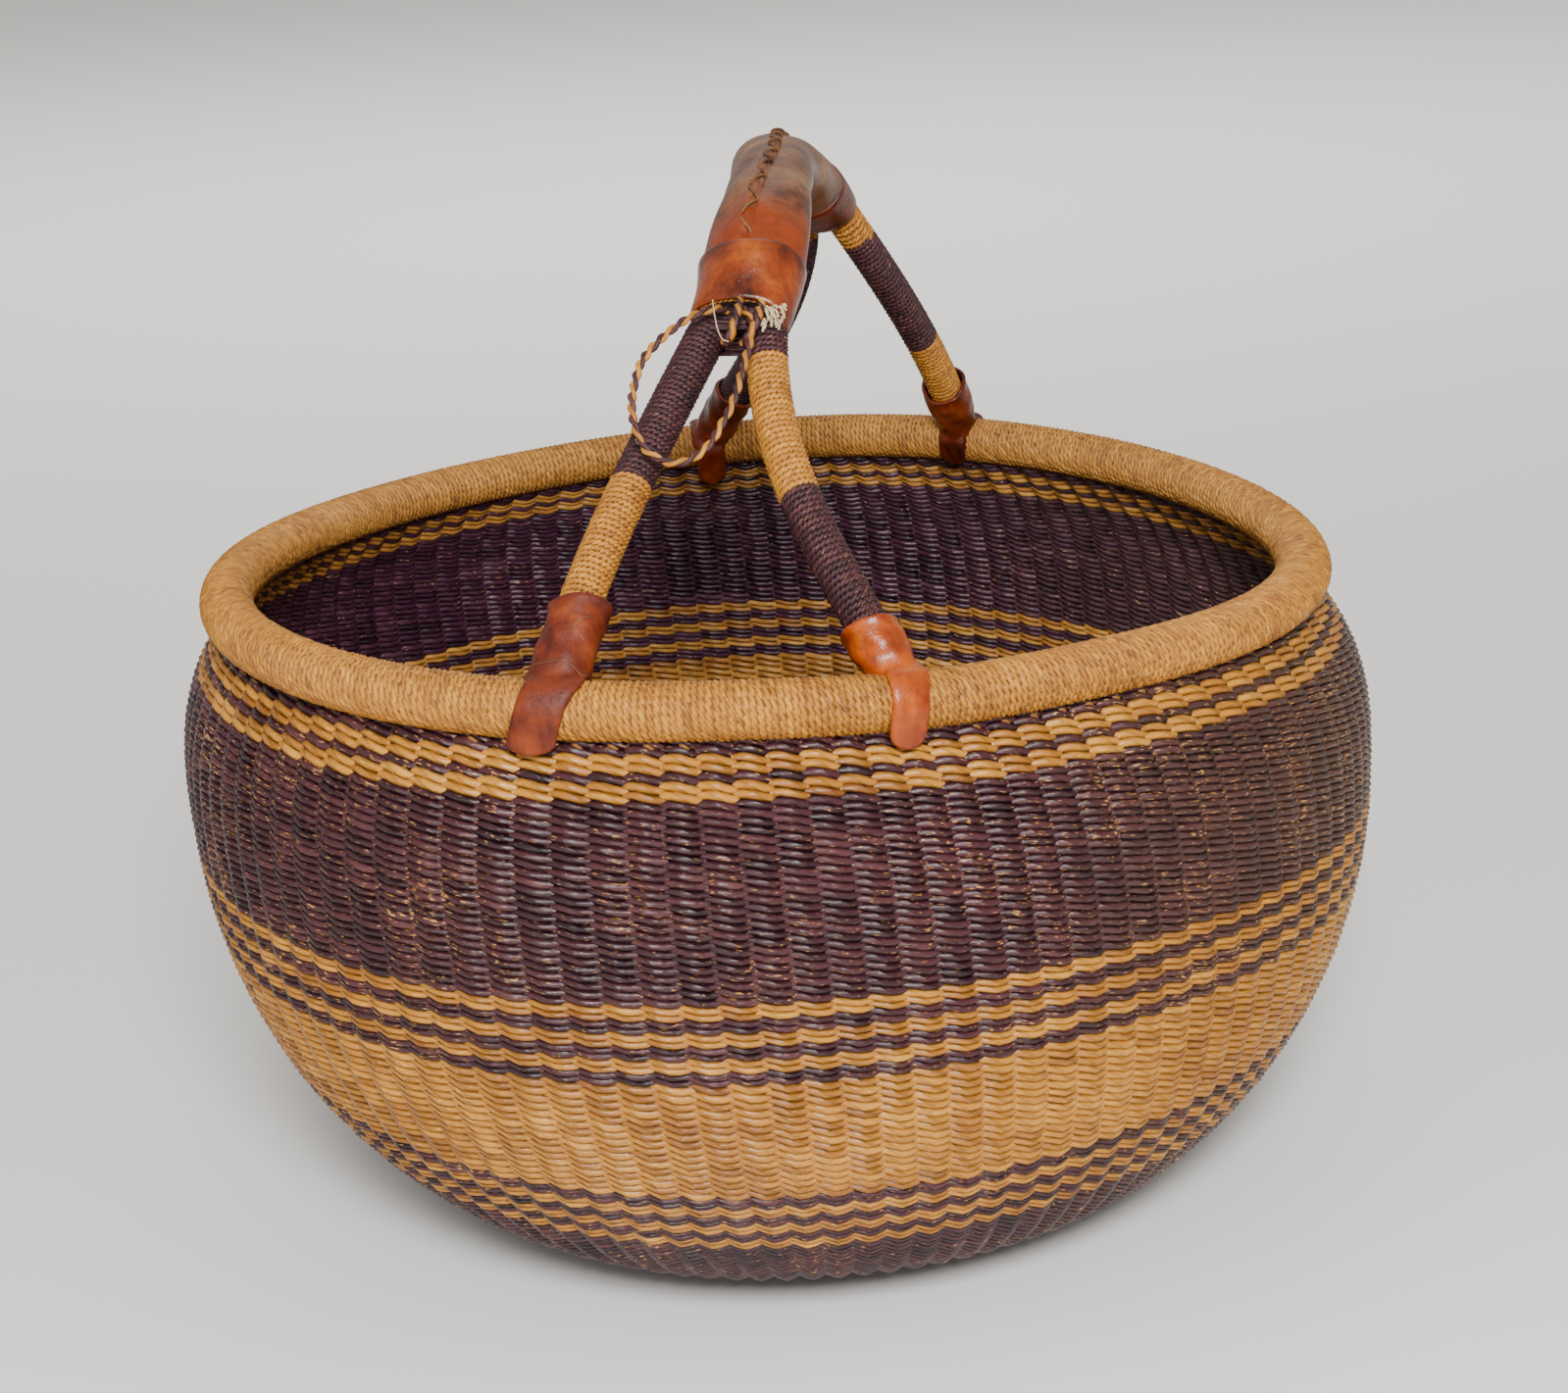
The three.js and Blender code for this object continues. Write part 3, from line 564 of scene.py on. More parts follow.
# Every band: its piece, the node it stands for, slot, upper edge, dye of each row, stakes, first row
bands = [
    ("base_twining_middle", ["base_weave"], "purple_straw", 0.025, [purple] * 9, 14, 0),
    ("base_twining_ring", [], "purple_straw", 0.055, [purple] * 13, 28, 10),
    ("base_twining_edge", [], "purple_straw", base_radius, [purple] * 14, 56, 30),
    ("foot_twining_inner", ["foot_weave"], "purple_straw", foot_split, [purple] * 12, 56, 50),
    ("foot_twining_outer", [], "purple_straw", foot_top, [purple] * 11, stake_count, 70),
    ("lower_purple_twining", ["lower_purple_weave"], "purple_straw", lower_purple_top,
     [purple] * 20, stake_count, 90),
    ("lower_stripes_twining", ["lower_stripes_weave"], "striped_straw", lower_stripes_top,
     pair_up * 3, stake_count, 120),
    ("natural_belly_twining", ["natural_belly_weave"], "natural_straw", natural_top,
     [natural] * 16, stake_count, 140),
    ("middle_stripes_twining", ["middle_stripes_weave"], "striped_straw", middle_stripes_top,
     pair_down * 3, stake_count, 170),
    ("purple_shoulder_twining", ["purple_shoulder_weave"], "purple_straw", shoulder_top,
     [purple] * 24, stake_count, 190),
    ("upper_stripes_twining", ["upper_stripes_weave"], "striped_straw", weave_top,
     [natural, natural, purple, natural, natural, purple, purple], stake_count, 230)]
for name, stands_for, slot, band_stop, dyes, stakes, first_row in bands:
    rows = np.arange(len(dyes))[:, None]
    pitch = (band_stop - band_start) / len(dyes)
    along = band_start + pitch * (rows + 0.5)
    steps = stakes * steps_per_stake
    place = np.arange(steps)
    azimuth = circle(steps)
    near, far, below, above = [
        wall_point(azimuth, along + step * facing_step, weave_depth + deeper * facing_step)
        for step, deeper in ((0, -1), (0, 1), (-1, 0), (1, 0))]
    guide = guide_mesh(
        name, wall_point(azimuth, along, weave_depth), True, out=unit(near - far), up=unit(above - below),
        phase=pi * place / steps_per_stake, length=place * (tau * row_radius / steps),
        row=first_row + rows, dye=np.array(dyes)[:, None])
    mesh = grown(
        guide, ReachOut=strand_reach, ReachUp=pitch * strand_drop, ThickOut=strand_half_thickness,
        ThickUp=pitch / 2 * row_overlap, CrestShare=0.12, CrestPower=0.5, Unevenness=0.26,
        Sides=strand_sides, Look=weave_look)
    piece(mesh, stands_for=stands_for)
    band_start = band_stop


def skinned(name, grids, closed=False, capped=False):
    """A smooth mesh over grids of points, closed around and open, closed or capped along."""
    grids = np.asarray(grids, float)
    count, rows, sides = grids.shape[:3]
    grid, row, side = np.meshgrid(
        np.arange(count), np.arange(rows if closed else rows - 1), np.arange(sides), indexing="ij")
    here, ahead = [(grid * rows + number % rows) * sides for number in (row, row + 1)]
    beside = (side + 1) % sides
    faces = np.stack([here + side, here + beside, ahead + beside, ahead + side], -1).reshape(-1, 4).tolist()
    if capped:
        last = (rows - 1) * sides
        faces += [list(range(sides))[::-1], list(range(last, last + sides))]
    mesh = bpy.data.meshes.new(name)
    mesh.from_pydata(grids.reshape(-1, 3).tolist(), [], faces)
    mesh.shade_smooth()
    return mesh


def tubes(name, paths, radius, sides=4):
    """Round bars along paths that all have the same number of points, as one mesh."""
    paths = np.asarray(paths, float)
    heading = headings(paths)
    across = unit(np.cross(heading, (0.31, 0.27, 0.91)))
    high = np.cross(heading, across)
    turns = circle(sides)[:, None]
    spokes = across[:, :, None] * np.cos(turns) + high[:, :, None] * np.sin(turns)
    return skinned(name, paths[:, :, None] + radius * spokes)


stake_azimuths = tau * (np.arange(stake_count) + 0.5) / stake_count
stake_places = np.linspace(foot_split, weave_top, stake_steps)
stake_paths = wall_point(stake_azimuths[:, None], stake_places, weave_depth)
piece(tubes("stakes", stake_paths, stake_radius), twine_look)

shown = np.sin(np.arange(stake_count) * 12.9898) > 0.1
tooth_azimuths = stake_azimuths[shown] + 0.006
tooth_spread = np.linspace(-1, 1, 7)
tooth_paths = wall_point(tooth_azimuths[:, None] + 0.0085 * tooth_spread,
                         weave_top - 0.0034 - 0.0006 * tooth_spread, 0.0003 + 0.0021 * tooth_spread ** 2)
teeth = tubes("stake_ends", tooth_paths, 0.0006, 6)
piece(marked(teeth, "dye", 0.45), twine_look)

# Rim: a bundle of grass as thick as a thumb, bound all the way round with two-ply twine whose turns
# lie side by side and hide the ends of the stakes
rim_radius = 0.0097
rim_centre_height = rim_seat_height + rim_radius / 2
rim_turns = 546
rim_pieces = 3
rim_steps_per_turn = 44
rim_lay = 0.0062
rim_ply = 0.00058


def rim_point(azimuth, angle, distance):
    return settle(azimuth, rim_circle_radius + distance * np.cos(angle),
                  rim_centre_height + distance * np.sin(angle))


for number in range(rim_pieces):
    count = rim_turns // rim_pieces * rim_steps_per_turn
    place = number * count + np.arange(count + 1)
    azimuth = tau * place / (rim_turns * rim_steps_per_turn)
    azimuth = azimuth + 0.0009 * np.sin(place * 0.083) * np.sin(place * 0.0171)
    angle = -tau * place / rim_steps_per_turn
    centre = rim_point(azimuth, angle, 0.0)
    path = rim_point(azimuth, angle, rim_radius - 2 * rim_ply)
    mesh = twine(f"rim_twine_{number + 1}", path, path - centre, natural, rim_lay, rim_ply, number * 5.0)
    piece(mesh, stands_for=["rim_binding"])

# Handle: two arches of bundled grass side by side. They meet in the grip and spread into four legs
# that stand on the rim, each bound from the grip down with two-ply twine in natural and purple
grip_along = Vector((sin(grip_turn), cos(grip_turn), 0))
grip_middle_x = 0.0078
grip_bow = 0.006
grip_half_length = 0.077
mouth_heights = {-1: 0.331, 1: 0.347}
mouth_half_spacings = {-1: 0.009, 1: 0.0068}
grip_top_height = 0.370
grip_top_along = 0.018
arch_half_spacing = 0.0058
grip_line_shares = [(-1, 0, 0), (-0.62, 0.55, 0.71), (-0.2, 0.1, 0.957),
                    (grip_top_along / grip_half_length, -0.75, 1), (0.6, -0.6, 0.68), (1, 0, 0)]
core_radius = 0.0052
plant_lift = 0.014
leg_points_count = 12
foot_bend = 0.3
clasp_length = 0.040
wound_under_clasp = 0.006
leg_ply = 0.00054
leg_lay = 0.0038
leg_pitch = 0.00212
leg_steps_per_turn = 54
binding_radius = core_radius + 1.9 * leg_ply
bed_radius = core_radius + 1.3 * leg_ply
bed_sides = 16
bed_step = 6
legs = {
    "front_left": dict(end=-1, side=-1, azimuth=250.2, splay=22, bend=0.4, clasp=0.86,
                       dyes=[(purple, 0.585), (natural, 1)], nodes=["purple", "natural"]),
    "front_right": dict(end=-1, side=1, azimuth=284.4, splay=2, bend=0.42, clasp=0.66,
                        dyes=[(purple, 0.14), (natural, 0.57), (purple, 1)],
                        nodes=["purple_upper", "natural", "purple_lower"]),
    "back_left": dict(end=1, side=-1, azimuth=92.9, splay=8, bend=0.4, clasp=0.9,
                      dyes=[(natural, 0.12), (purple, 0.5), (purple, 1)],
                      nodes=["natural_upper", "purple_upper", "purple_lower"]),
    "back_right": dict(end=1, side=1, azimuth=56.5, splay=36, bend=0.35, clasp=0.83,
                       dyes=[(natural, 0.16), (purple, 0.73), (natural, 1)],
                       nodes=["natural_upper", "purple", "natural_lower"])}


def between(low, high, share):
    return low + (high - low) * share


def grip_point(along, across, height):
    return np.array(Vector((grip_middle_x, 0, height)) + grip_along * along + grip_across * across)


def grip_profile(across, inner=False):
    """Points of the line along the grip. The inner ones leave out its two mouths."""
    points = []
    for share, bow, rise in grip_line_shares[1:-1] if inner else grip_line_shares:
        height = between(mouth_heights[-1 if share < 0 else 1], grip_top_height, rise)
        points.append(grip_point(share * grip_half_length, bow * grip_bow + across, height))
    return points


def leg_mouth(leg):
    end = leg["end"]
    return grip_point(end * grip_half_length, leg["side"] * mouth_half_spacings[end], mouth_heights[end])


def leg_points(leg):
    """Points of one leg from the middle of the rim up to the grip's mouth."""
    mouth, foot = leg_mouth(leg), rim_point(radians(leg["azimuth"]), 0.0, 0.0)
    length = np.linalg.norm(mouth - foot)
    drop = asin((mouth[2] - foot[2]) / length)
    splay = radians(leg["splay"])
    level = grip_along * leg["end"] * cos(splay) + grip_across * leg["side"] * sin(splay)
    leave = np.array(level) * cos(drop) - np.array((0, 0, sin(drop)))
    first = mouth + leave * length * leg["bend"]
    second = between(foot, first, foot_bend) + np.array((0, 0, plant_lift))
    t = np.linspace(0, 1, 400)[:, None]
    curve = (foot * (1 - t) ** 3 + 3 * second * t * (1 - t) ** 2
             + 3 * first * t * t * (1 - t) + mouth * t ** 3)
    return list(respaced(curve, lengths(curve)[-1] / leg_points_count))


def leg_line(leg):
    """The line of a leg along its arch, from the rim up to the mouth of the grip."""
    ends = {other["end"]: leg_points(other) for other in legs.values() if other["side"] == leg["side"]}
    middle = grip_profile(leg["side"] * arch_half_spacing, inner=True)
    arch = respaced(through([*ends[-1], *middle, *reversed(ends[1])], 24), 0.0004)
    if leg["end"] > 0:
        arch = arch[::-1]
    half = arch[:len(arch) // 2]
    return half[:np.argmin(np.linalg.norm(half - leg_mouth(leg), axis=1)) + 1]


def framed(line, places):
    """Points and directions along a line at distances from its start: point, along, across, up."""
    point = read_along(line, line, places)
    ahead = unit(read_along(line, headings(line), places))
    across = unit(np.cross(ahead, (0, 0, 1.0)))
    return point, ahead, across, np.cross(across, ahead)


for number, (name, leg) in enumerate(legs.items()):
    line = leg_line(leg)
    leg["line"] = line
    length = lengths(line)[-1]
    clasp = clasp_length * leg["clasp"]
    wound = length - (clasp - wound_under_clasp)
    turns = round(wound / leg_pitch)
    turned = np.linspace(0, turns, turns * leg_steps_per_turn + 1)
    places = length - wound * turned / turns
    point, ahead, across, up = framed(line, places)
    angle = tau * turned[:, None]
    out = across * np.cos(angle) + up * np.sin(angle)
    down = (length - places) / (length - clasp)
    dyes, stops = zip(*leg["dyes"])
    dye = np.select([down <= stop for stop in stops], dyes, dyes[-1])
    mesh = twine(f"{name}_binding", point + out * binding_radius, out, dye, leg_lay, leg_ply,
                 40.0 + number * 5)
    bed_line = read_along(line, line, places[::bed_step])
    bed = tubes(f"{name}_binding_bed", [bed_line], bed_radius, bed_sides)
    piece(marked(bed, "dye", np.repeat(dye[::bed_step], bed_sides)), twine_look)
    piece(mesh, stands_for=[f"{name}_{part}_twine" for part in leg["nodes"]])

# Mouth of the grip: purple twine lashed round both necks, with two cords of one natural and one
# purple ply laid over it. Straw frays out between the necks, and a white thread hangs beside them
lashing_turns, lashing_pitch, lashing_start = 5, 0.0021, -0.001
lashing_radius = core_radius + 1.2 * leg_ply
turned = np.linspace(0, lashing_turns, lashing_turns * 60 + 1)
angle = tau * turned[:, None]
left_neck, right_neck = [
    framed(legs[name]["line"], lengths(legs[name]["line"])[-1] - lashing_start - lashing_pitch * turned)
    for name in ("front_left", "front_right")]
share = np.clip(0.5 + 3 * np.cos(angle), 0, 1)
centre = between(left_neck[0], right_neck[0], share)
out = np.array(grip_across) * np.cos(angle) + left_neck[3] * np.sin(angle)
mesh = twine("neck_lashing", centre + out * lashing_radius, out, purple, leg_lay, leg_ply, 70.0)
piece(mesh)
crossing_routes = [
    [(-0.0099, -0.0840, 0.3395), (-0.0109, -0.0895, 0.3370), (-0.0126, -0.0925, 0.3325),
     (-0.0144, -0.0935, 0.3285), (-0.0164, -0.0920, 0.3262)],
    [(-0.0030, -0.0850, 0.3385), (-0.0042, -0.0905, 0.3355), (-0.0062, -0.0935, 0.3315),
     (-0.0085, -0.0940, 0.3280), (-0.0100, -0.0910, 0.3255)]]
for number, route in enumerate(crossing_routes):
    path = respaced(through(route, 16), cord_lay / cord_steps_per_lay)
    mesh = twine(f"neck_cord_{number + 1}", path, (0, -1, 0.3), one_ply_of_each, cord_lay * 0.8,
                 cord_ply_radius * 0.75, 71.0 + number)
    piece(mesh)

thread_look, g = look("pale_fibres")
dressed(g, rgb("c2ae8a"), 0.7)
tuft_middle = np.array((0.0006, -0.0880, 0.3342))
straws = []
for number in range(34):
    spread = np.array([sin(number * 2.4), sin(number * 4.1 + 1), sin(number * 5.7 + 2)])
    root = tuft_middle + spread * (0.0030, 0.0008, 0.0024)
    curl = spread[[2, 0, 1]] * 0.0005
    straws.append([root + curl * step + (0, -0.0004 * step, -0.0004 * step * (step - 2))
                   for step in range(4)])
piece(tubes("frayed_straw", straws, 0.00045), thread_look)
thread_route = [(-0.0189, -0.0850, 0.3398), (-0.0187, -0.0915, 0.3365), (-0.0178, -0.0950, 0.3312),
                (-0.0165, -0.0950, 0.3284), (-0.0146, -0.0945, 0.3275)]
piece(tubes("white_thread", [through(thread_route, 8)], 0.00021, 5), thread_look)

# Leather clasps: one strip of goat leather at the foot of each leg, wrapped round it as a cuff and
# opened into tails that were wetted and pressed down over the rim. Four, each folded differently
leather_thickness = 0.0018
cuff_radius = core_radius + 2 * 0.0011 + 0.75 * leather_thickness
cuff_inner = 0.0071
cuff_rings, cuff_sides = 44, 56
strap_half_width = 0.007
strap_hang = 0.007
strap_rings = 70
outer_bend, inner_bend = radians(-5), radians(200)
seen_from_above = radians(20)
seat_gap = 0.0002
clasp_voxel = 0.00055
clasp_softening = 6
plain_clasp = dict(slide=0, lean=0, tip=0.8, bulge=0)
clasps = {
    "front_left": dict(width=1.04, slide=0.0009, lean=0.0031, tip=0.45, slant=(0.0026, 0.1), bulge=0.0016,
                       hangs=(1.5, 0.5), radii=(1.04, 1.04, 1, 0.97, 1)),
    "front_right": dict(plain_clasp, width=0.9, slide=-0.0014, lean=0.0014, slant=(0.0016, 3.4),
                        hangs=(1.65, 0.5), radii=(1, 0.94, 0.97, 1.07, 1.03)),
    "back_left": dict(plain_clasp, width=0.94, slant=(0.0016, 5.5), hangs=(1.3, 2),
                      radii=(1.02, 0.98, 0.98, 1.02, 1)),
    "back_right": dict(plain_clasp, width=0.97, slant=(0.0016, 7.6), hangs=(1.3, 0.9),
                       radii=(1, 0.9, 1, 1.1, 1.04))}


def fused(name, shells):
    """Closed shells grown together into one soft skin."""
    points, faces = [], []
    for shell in shells:
        start = len(points)
        points += [tuple(v.co) for v in shell.vertices]
        faces += [[start + i for i in face.vertices] for face in shell.polygons]
    joined = bpy.data.meshes.new(name)
    joined.from_pydata(points, [], faces)
    obj = added(name, joined)
    remesh = obj.modifiers.new("skin", "REMESH")
    remesh.mode = "VOXEL"
    remesh.voxel_size = clasp_voxel
    soft = obj.modifiers.new("soft", "SMOOTH")
    soft.factor = 0.5
    soft.iterations = clasp_softening
    made = as_modified(obj)
    made.shade_smooth()
    return made


def leather_look(name, tints, roughness=0.42, wear=0.35, sheen=0.12, stained=None):
    """Vegetable tanned goat leather: mottled stain, rubbed patches, fine grain and creases."""
    material, g = look(name)
    place = g.add("ShaderNodeTexCoord").out("Object")
    blotch = g.noise(place, 70.0, 4.0)
    streak = g.noise(g.vector("MULTIPLY", place, (1.0, 1.0, 0.25)), 420.0, 5.0)
    colour = g.tinted(tints, (blotch * 2.2 + streak * 0.7 - 0.95).held())
    if stained:
        tint, start, stop = stained
        along = g.parts(place).out("Y")
        stain = ((along - stop) / (start - stop) + (blotch - 0.5) * 2).held()
        colour = g.mix(stain, colour, rgb(tint))
    pores = g.add("ShaderNodeTexVoronoi", {}, {"Vector": place, "Scale": 1500.0})
    creases = g.noise(place, 260.0, 6.0, 0.8)
    folds = abs(g.noise(g.vector("MULTIPLY", place, (0.5, 1.6, 1.0)), 110.0, 2.0, 0.3) - 0.5)
    fold = (folds * 10).held()
    colour = g.scaled(colour, fold * 0.2 + 0.8)
    bump = g.bump(creases * 0.6 + pores * 0.15 + blotch * 1.2 + fold * 0.12, 0.5, 0.0009)
    dressed(g, colour, roughness + (blotch - 0.5) * wear, bump, specular=0.3, coat=sheen)
    return material


def swollen(places, shares):
    """Evenly spaced shares read at places from 0 to 1."""
    return np.interp(places, np.linspace(0, 1, len(shares)), shares)


def cuff_shell(leg, shares, seed):
    """The cuff round the foot of a leg: outside from the rim up, then back down its inside."""
    length = clasp_length * leg["clasp"]
    t = np.linspace(0.08, 1, cuff_rings)[:, None]
    a = circle(cuff_sides)
    point, ahead, across, up = framed(leg["line"], t * length)
    folds = (0.00030 * np.sin(3 * a + 9 * t + seed) * np.sin(15 * t + seed)
             + 0.00022 * np.sin(5 * a - 14 * t + 2 * seed) + 0.0005 * np.exp(-((t - 0.97) / 0.03) ** 2))
    spread = 0.0035 * np.clip(1 - t / 0.34, 0, 1) ** 2
    outer = cuff_radius * swollen(t, shares["radii"]) + folds + spread
    outer = outer + shares["bulge"] * np.clip(np.cos(a), 0, 1) ** 2 * np.clip(t * 3, 0, 1)
    inner = np.minimum(np.maximum(outer - 0.0016, cuff_inner), outer - 0.0009)
    slant, slant_turn = shares["slant"]
    slid = ahead * (slant * np.cos(a - slant_turn) * np.clip(t * 3 - 2, 0, 1))[..., None]

    def ring(radius):
        return (point + slid + across * (radius * np.cos(a))[..., None]
                + up * (radius * np.sin(a))[..., None])

    return skinned("cuff", [np.concatenate([ring(outer), ring(inner)[::-1]])], closed=True)


def strap_shell(leg, shares):
    """The tails over the rim: from the end that hangs outside, over the top, to the one inside."""
    half = strap_half_width * shares["width"]
    near = rim_radius + seat_gap
    far = near + leather_thickness
    outer_tail, inner_tail = [share * strap_hang for share in shares["hangs"]]
    arc = (inner_bend - outer_bend) * far
    total = outer_tail + arc + inner_tail
    top, under = np.linspace(-1, 1, 13), np.linspace(1, -1, 7)
    across = np.concatenate([top, under])
    crown = far + 0.0003 * (1 - top ** 2) - 0.0008 * abs(top) ** 6
    distance = np.concatenate([crown, np.full(len(under), near - 0.0002)])
    d = np.linspace(0.0001, total - 0.0001, strap_rings)[:, None]
    angle = between(outer_bend, inner_bend, np.clip((d - outer_tail) / arc, 0, 1))
    hang = np.minimum(d - outer_tail, 0) + np.maximum(d - outer_tail - arc, 0)
    end = np.minimum(np.minimum(d, total - d) / (shares["tip"] * half), 1)
    wide = 1 + 0.16 * np.exp(-((angle - radians(70)) / 0.55) ** 2)
    width = half * np.sqrt(1 - (1 - end) ** 2) * wide
    rise = np.sin(angle - seen_from_above) + np.minimum(hang, 0) / rim_radius
    shift = shares["slide"] + shares["lean"] * rise
    rings = settle(
        radians(leg["azimuth"]) + (shift + across * width) / rim_circle_radius,
        rim_circle_radius + distance * np.cos(angle) - hang * np.sin(angle),
        rim_centre_height + distance * np.sin(angle) + hang * np.cos(angle))
    return skinned("strap", [rings], capped=True)


bright_look = leather_look("orange_leather", ["4e1802", "823002", "9e4202", "b05604"], 0.34, 0.3, 0.15)
red_look = leather_look("red_brown_leather", ["2c0a02", "561a06", "6e2808", "843a10"], 0.56, 0.2, 0.0)
brown_look = leather_look("dark_brown_leather", ["260903", "4c1604", "6a2408", "823610"])
for number, (name, leg) in enumerate(legs.items()):
    shells = [cuff_shell(leg, clasps[name], 1.3 + 2.1 * number), strap_shell(leg, clasps[name])]
    finish = {"front_left": red_look, "front_right": bright_look}.get(name, brown_look)
    slot = "tan_leather" if leg["end"] < 0 else "brown_leather"
    piece(fused(f"{name}_leather_clasp", shells), finish, stands_for=[f"{name}_clasp"])

# Clasp thread: a fine leather thread tied round the front left cuff where its strap begins. A second
# length stands for the rolled edge of the old cut that curves over the leather above it
clasp_skin = bpy.data.meshes["front_left_leather_clasp"]
skin = BVHTree.FromPolygons([tuple(v.co) for v in clasp_skin.vertices],
                            [tuple(face.vertices) for face in clasp_skin.polygons])
thong_look = leather_look("thong_leather", ["3e1c0c", "644024", "7c5634"], 0.5, 0.2, 0.05)
cuff_front = radians(52)
turns = np.linspace(-1, 1, 25)
clasp_thread_paths = []
for spots, angle in ((0.0120 - 0.0012 * turns ** 2, cuff_front + 1.45 * turns),
                     (0.0250 + 0.0042 * turns, cuff_front + 0.15 - 0.45 * turns ** 2)):
    point, ahead, across, up = framed(legs["front_left"]["line"], spots)
    outside = point + (across * np.cos(angle)[:, None] + up * np.sin(angle)[:, None]) * 0.014
    touched = [skin.find_nearest(Vector(p)) for p in outside]
    clasp_thread_paths.append([np.array(place + normal * 0.0001) for place, normal, _, _ in touched])
piece(tubes("clasp_thread", clasp_thread_paths, 0.00026, 5), thong_look)

# Grip: goat leather over both arches, sewn along the top with a narrow thong. Glossy cuffs finish
# its two ends, and the middle is rubbed pale by the hand
grip_half_width = 0.0166
grip_half_height = 0.012
cuff_shows = 0.0215
far_cuff_length = 0.022
cuff_rise = 0.0009
cuff_overlap = 0.004
grip_leather = 0.0016
grip_swell_shares = [1.0, 1.07, 1.0, 0.9, 0.88, 0.9, 0.93, 0.94, 0.92, 0.88]
grip_line = respaced(through(grip_profile(0.0), 60), 0.0004)
grip_length = lengths(grip_line)[-1]
around = circle(160)
lip_taper = 12
stitch_spacing = 0.0125


def grip_surface(places, angles, lift):
    """Points on the grip at distances along it and angles round it, lifted off the leather."""
    point = read_along(grip_line, grip_line, places)
    ahead = read_along(grip_line, headings(grip_line), places)
    across = np.array(grip_across)
    up = unit(np.cross(across, unit(ahead)))
    before = np.minimum(places, 0)
    swell = swollen(places / grip_length, grip_swell_shares) * (1 + lip_taper * before)
    wide = (grip_half_width * swell + lift) * np.cos(angles)
    high = (grip_half_height * swell + lift) * np.sin(angles)
    return point + ahead * before[..., None] + across * wide[..., None] + up * high[..., None]


def sleeve(name, node, finish, start, stop, steps, rise, relief):
    """Leather round the grip between two edges, which are distances that may vary around it."""
    t = np.linspace(0, 1, steps)[:, None]
    places = start + (stop - start) * t
    rounding = 0.0006 * np.clip(1 - np.minimum(t, 1 - t) * steps / 4, 0, 1) ** 2
    outside = grip_surface(places, around, rise + relief(places, around) - rounding)
    inside = grip_surface(places, around, rise - grip_leather)
    mesh = skinned(name, [np.concatenate([outside, inside[::-1]])], closed=True)
    piece(mesh, finish, stands_for=[node])


def seam_angle(places):
    """Where the overlapped seam lies on the grip: on top, wandering a little, with pointed flaps."""
    flap = abs((places / stitch_spacing) % 1 - 0.5) - 0.25
    return pi / 2 + 0.12 * np.sin(places * 50) + 0.16 * flap


def seam(places, angles):
    """The upper layer ends at the seam in a raised edge, with a groove beside it."""
    off = angles - seam_angle(places)
    return (0.0011 * np.exp(-np.clip(off, 0, None) / 0.35) * (off > -0.02) * (off < 1.2)
            - 0.0004 * np.exp(-((off + 0.07) / 0.05) ** 2))


tan_look = leather_look("orange_tan_leather", ["340e02", "602202", "7c3004", "96460c"], 0.3, 0.3, 0.25)
rubbed_look = leather_look(
    "hand_rubbed_leather", ["42200e", "643a20", "7a5030", "8c6a48"], 0.42, 0.3, 0.1,
    stained=("7a2e06", -0.064, -0.044))
sleeve("near_cuff_leather", "near_grip_cuff", tan_look,
       -0.0065 * np.clip(np.cos(around + 0.1), 0, 1) ** 3, cuff_shows + 0.002 * np.sin(around), 60,
       cuff_rise, lambda s, a: 0.0004 * np.sin(3 * a + 200 * s) + 0.0004 * np.sin(2 * a - 120 * s))
sleeve("far_cuff_leather", "far_grip_cuff", brown_look,
       grip_length - far_cuff_length - 0.002 * np.sin(around), grip_length, 36,
       cuff_rise, lambda s, a: 0.0002 * np.sin(3 * a + 200 * s))
sleeve("grip_wrapper_leather", "grip_wrapper", rubbed_look,
       cuff_shows - cuff_overlap, grip_length - far_cuff_length + cuff_overlap, 220,
       0.0, lambda s, a: (seam(s, a) + 0.00025 * np.sin(260 * s + 2 * a) * np.sin(2 * a + 1)
                          + 0.0003 * np.sin(5 * a + 90 * s) * np.sin(130 * s)))

thong_half_span = 0.0032
stitch_from, stitch_to = cuff_shows + 0.004, grip_length - far_cuff_length - 0.003
t = np.linspace(-1, 1, 9)
thong_paths = []
for number in range(int((stitch_to - stitch_from) / stitch_spacing)):
    for lean in (-1, 1):
        places = stitch_from + stitch_spacing * (number + 0.5 + 0.25 * lean + 0.25 * t)
        angles = seam_angle(places) - lean * t * thong_half_span / grip_half_width
        lift = 0.0014 + 0.0004 * lean * (1 - abs(t)) - 0.0024 * abs(t) ** 6
        thong_paths.append(grip_surface(places, angles, lift))
thong = tubes("lacing_thong", thong_paths, 0.00055, 6)
piece(thong, thong_look, stands_for=["grip_lacing"])

angles = np.linspace(radians(-20), radians(200), 160)
mouth_edge = grip_surface(0.0012, angles, -0.0018)
mouth_out = mouth_edge - grip_surface(0.0, angles, -0.006)
piece(twine("mouth_straw", mouth_edge, mouth_out, natural, leg_lay, 0.0006, 75.0))
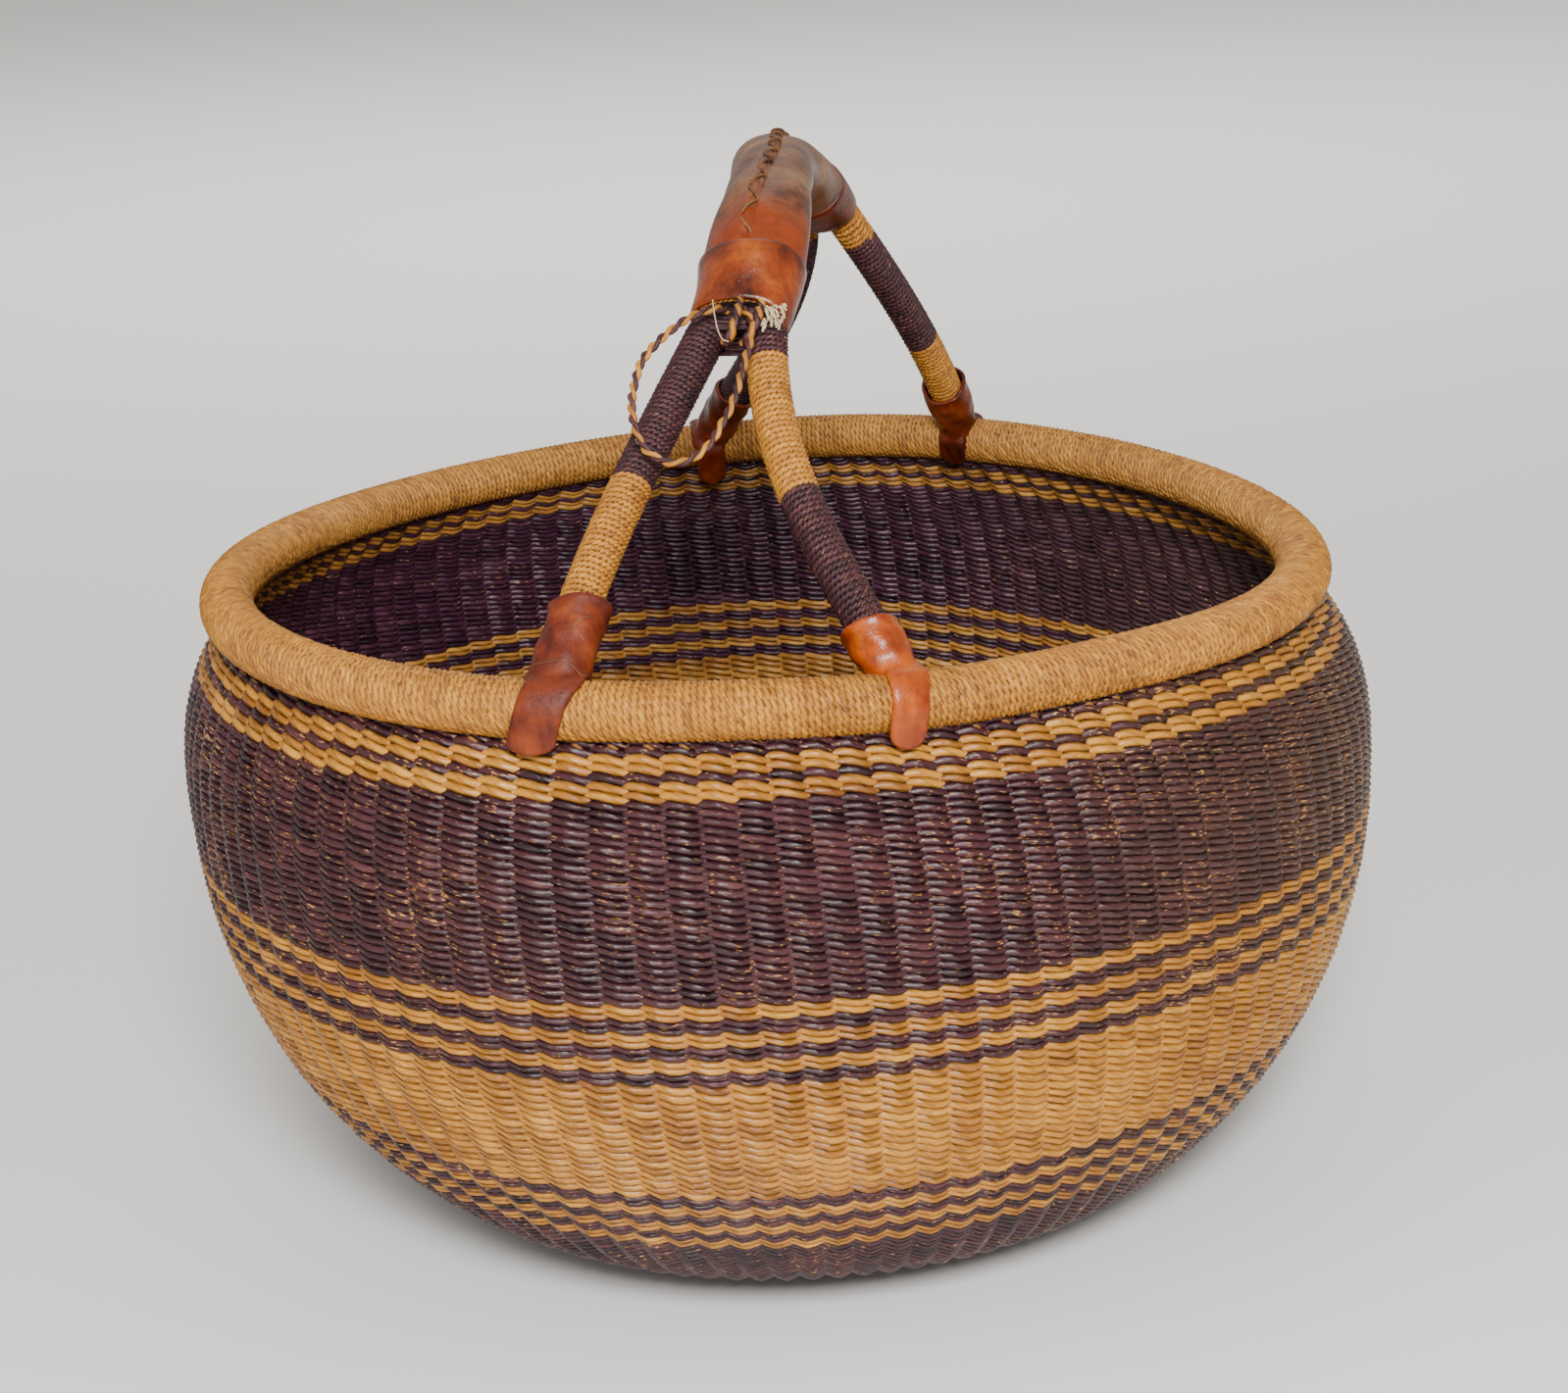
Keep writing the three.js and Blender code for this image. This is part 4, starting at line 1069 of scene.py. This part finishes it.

# Inner grass: the bundles inside the rim and the arches are dry stalks, and grass is packed between
# the arches in the grip, coloured near black as painted shade for the dark inside of the grip. They
# only show where twine or leather leaves them bare
bundle_steps, bundle_sides = 400, 20
grass_look, g = look("dry_grass_stalks")
stalks = g.noise(g.add("ShaderNodeTexCoord").out("Object"), 500.0, 3.0)
tint = g.tinted(["5e3a12", "8f5f22", "b4843c"], (stalks - 0.3) * 2.5)
dressed(g, tint, 0.8, g.bump(stalks, 0.6, 0.001))
# The packing's near black colour is painted shade for the dark inside of the grip
packing_shade_look = leather_look("packing_painted_shade", ["160a10", "26121a", "3a1e28"], 0.75, 0.1, 0.0)
bundle_points = rim_point(circle(bundle_steps)[:, None], circle(bundle_sides), rim_radius - 1.5 * rim_ply)
bundle = skinned("rim_bundle", [bundle_points], closed=True)
piece(bundle, grass_look, stands_for=["rim_core"])
for name, finish in (("left_arch_core", grass_look), ("right_arch_core", grass_look),
                     ("grip_packing", packing_shade_look)):
    materials = frame["nodes"][name].data.materials
    materials.clear()
    materials.append(finish)

# Floor and light: a pale studio floor, a small key lamp above the camera and a weak fill from the
# left. Two lamps behind the basket light the floor there, in a room of even warm white light
bpy.ops.mesh.primitive_plane_add(size=30.0)
floor = bpy.context.object
floor.name = "floor"
floor_look, g = look("pale_floor")
dressed(g, rgb("f4f2ee"), 0.6)
floor.data.materials.append(floor_look)
for name, place, target, size, power in [
        ("key", (0.03, -1.12, 0.86), (0, 0, 0.16), 0.32, 26),
        ("fill", (-1.5, -0.9, 1.3), (0, 0, 0.15), 1.6, 2),
        ("top", (0.1, 1.6, 2.1), (0, 1.4, 0), 1.8, 10),
        ("backdrop", (0, 2.0, 4.0), (0, 10.0, 0), 2.5, 260)]:
    lamp = added(name, bpy.data.lights.new(name, "AREA"))
    lamp.data.size = size
    lamp.data.energy = power
    lamp.location = place
    lamp.rotation_euler = (Vector(target) - Vector(place)).to_track_quat("-Z", "Y").to_euler()
world = bpy.data.worlds.new("studio")
world.use_nodes = True
background = world.node_tree.nodes["Background"]
background.inputs["Color"].default_value = (1.0, 0.985, 0.96, 1)
background.inputs["Strength"].default_value = 0.6
bpy.context.scene.world = world
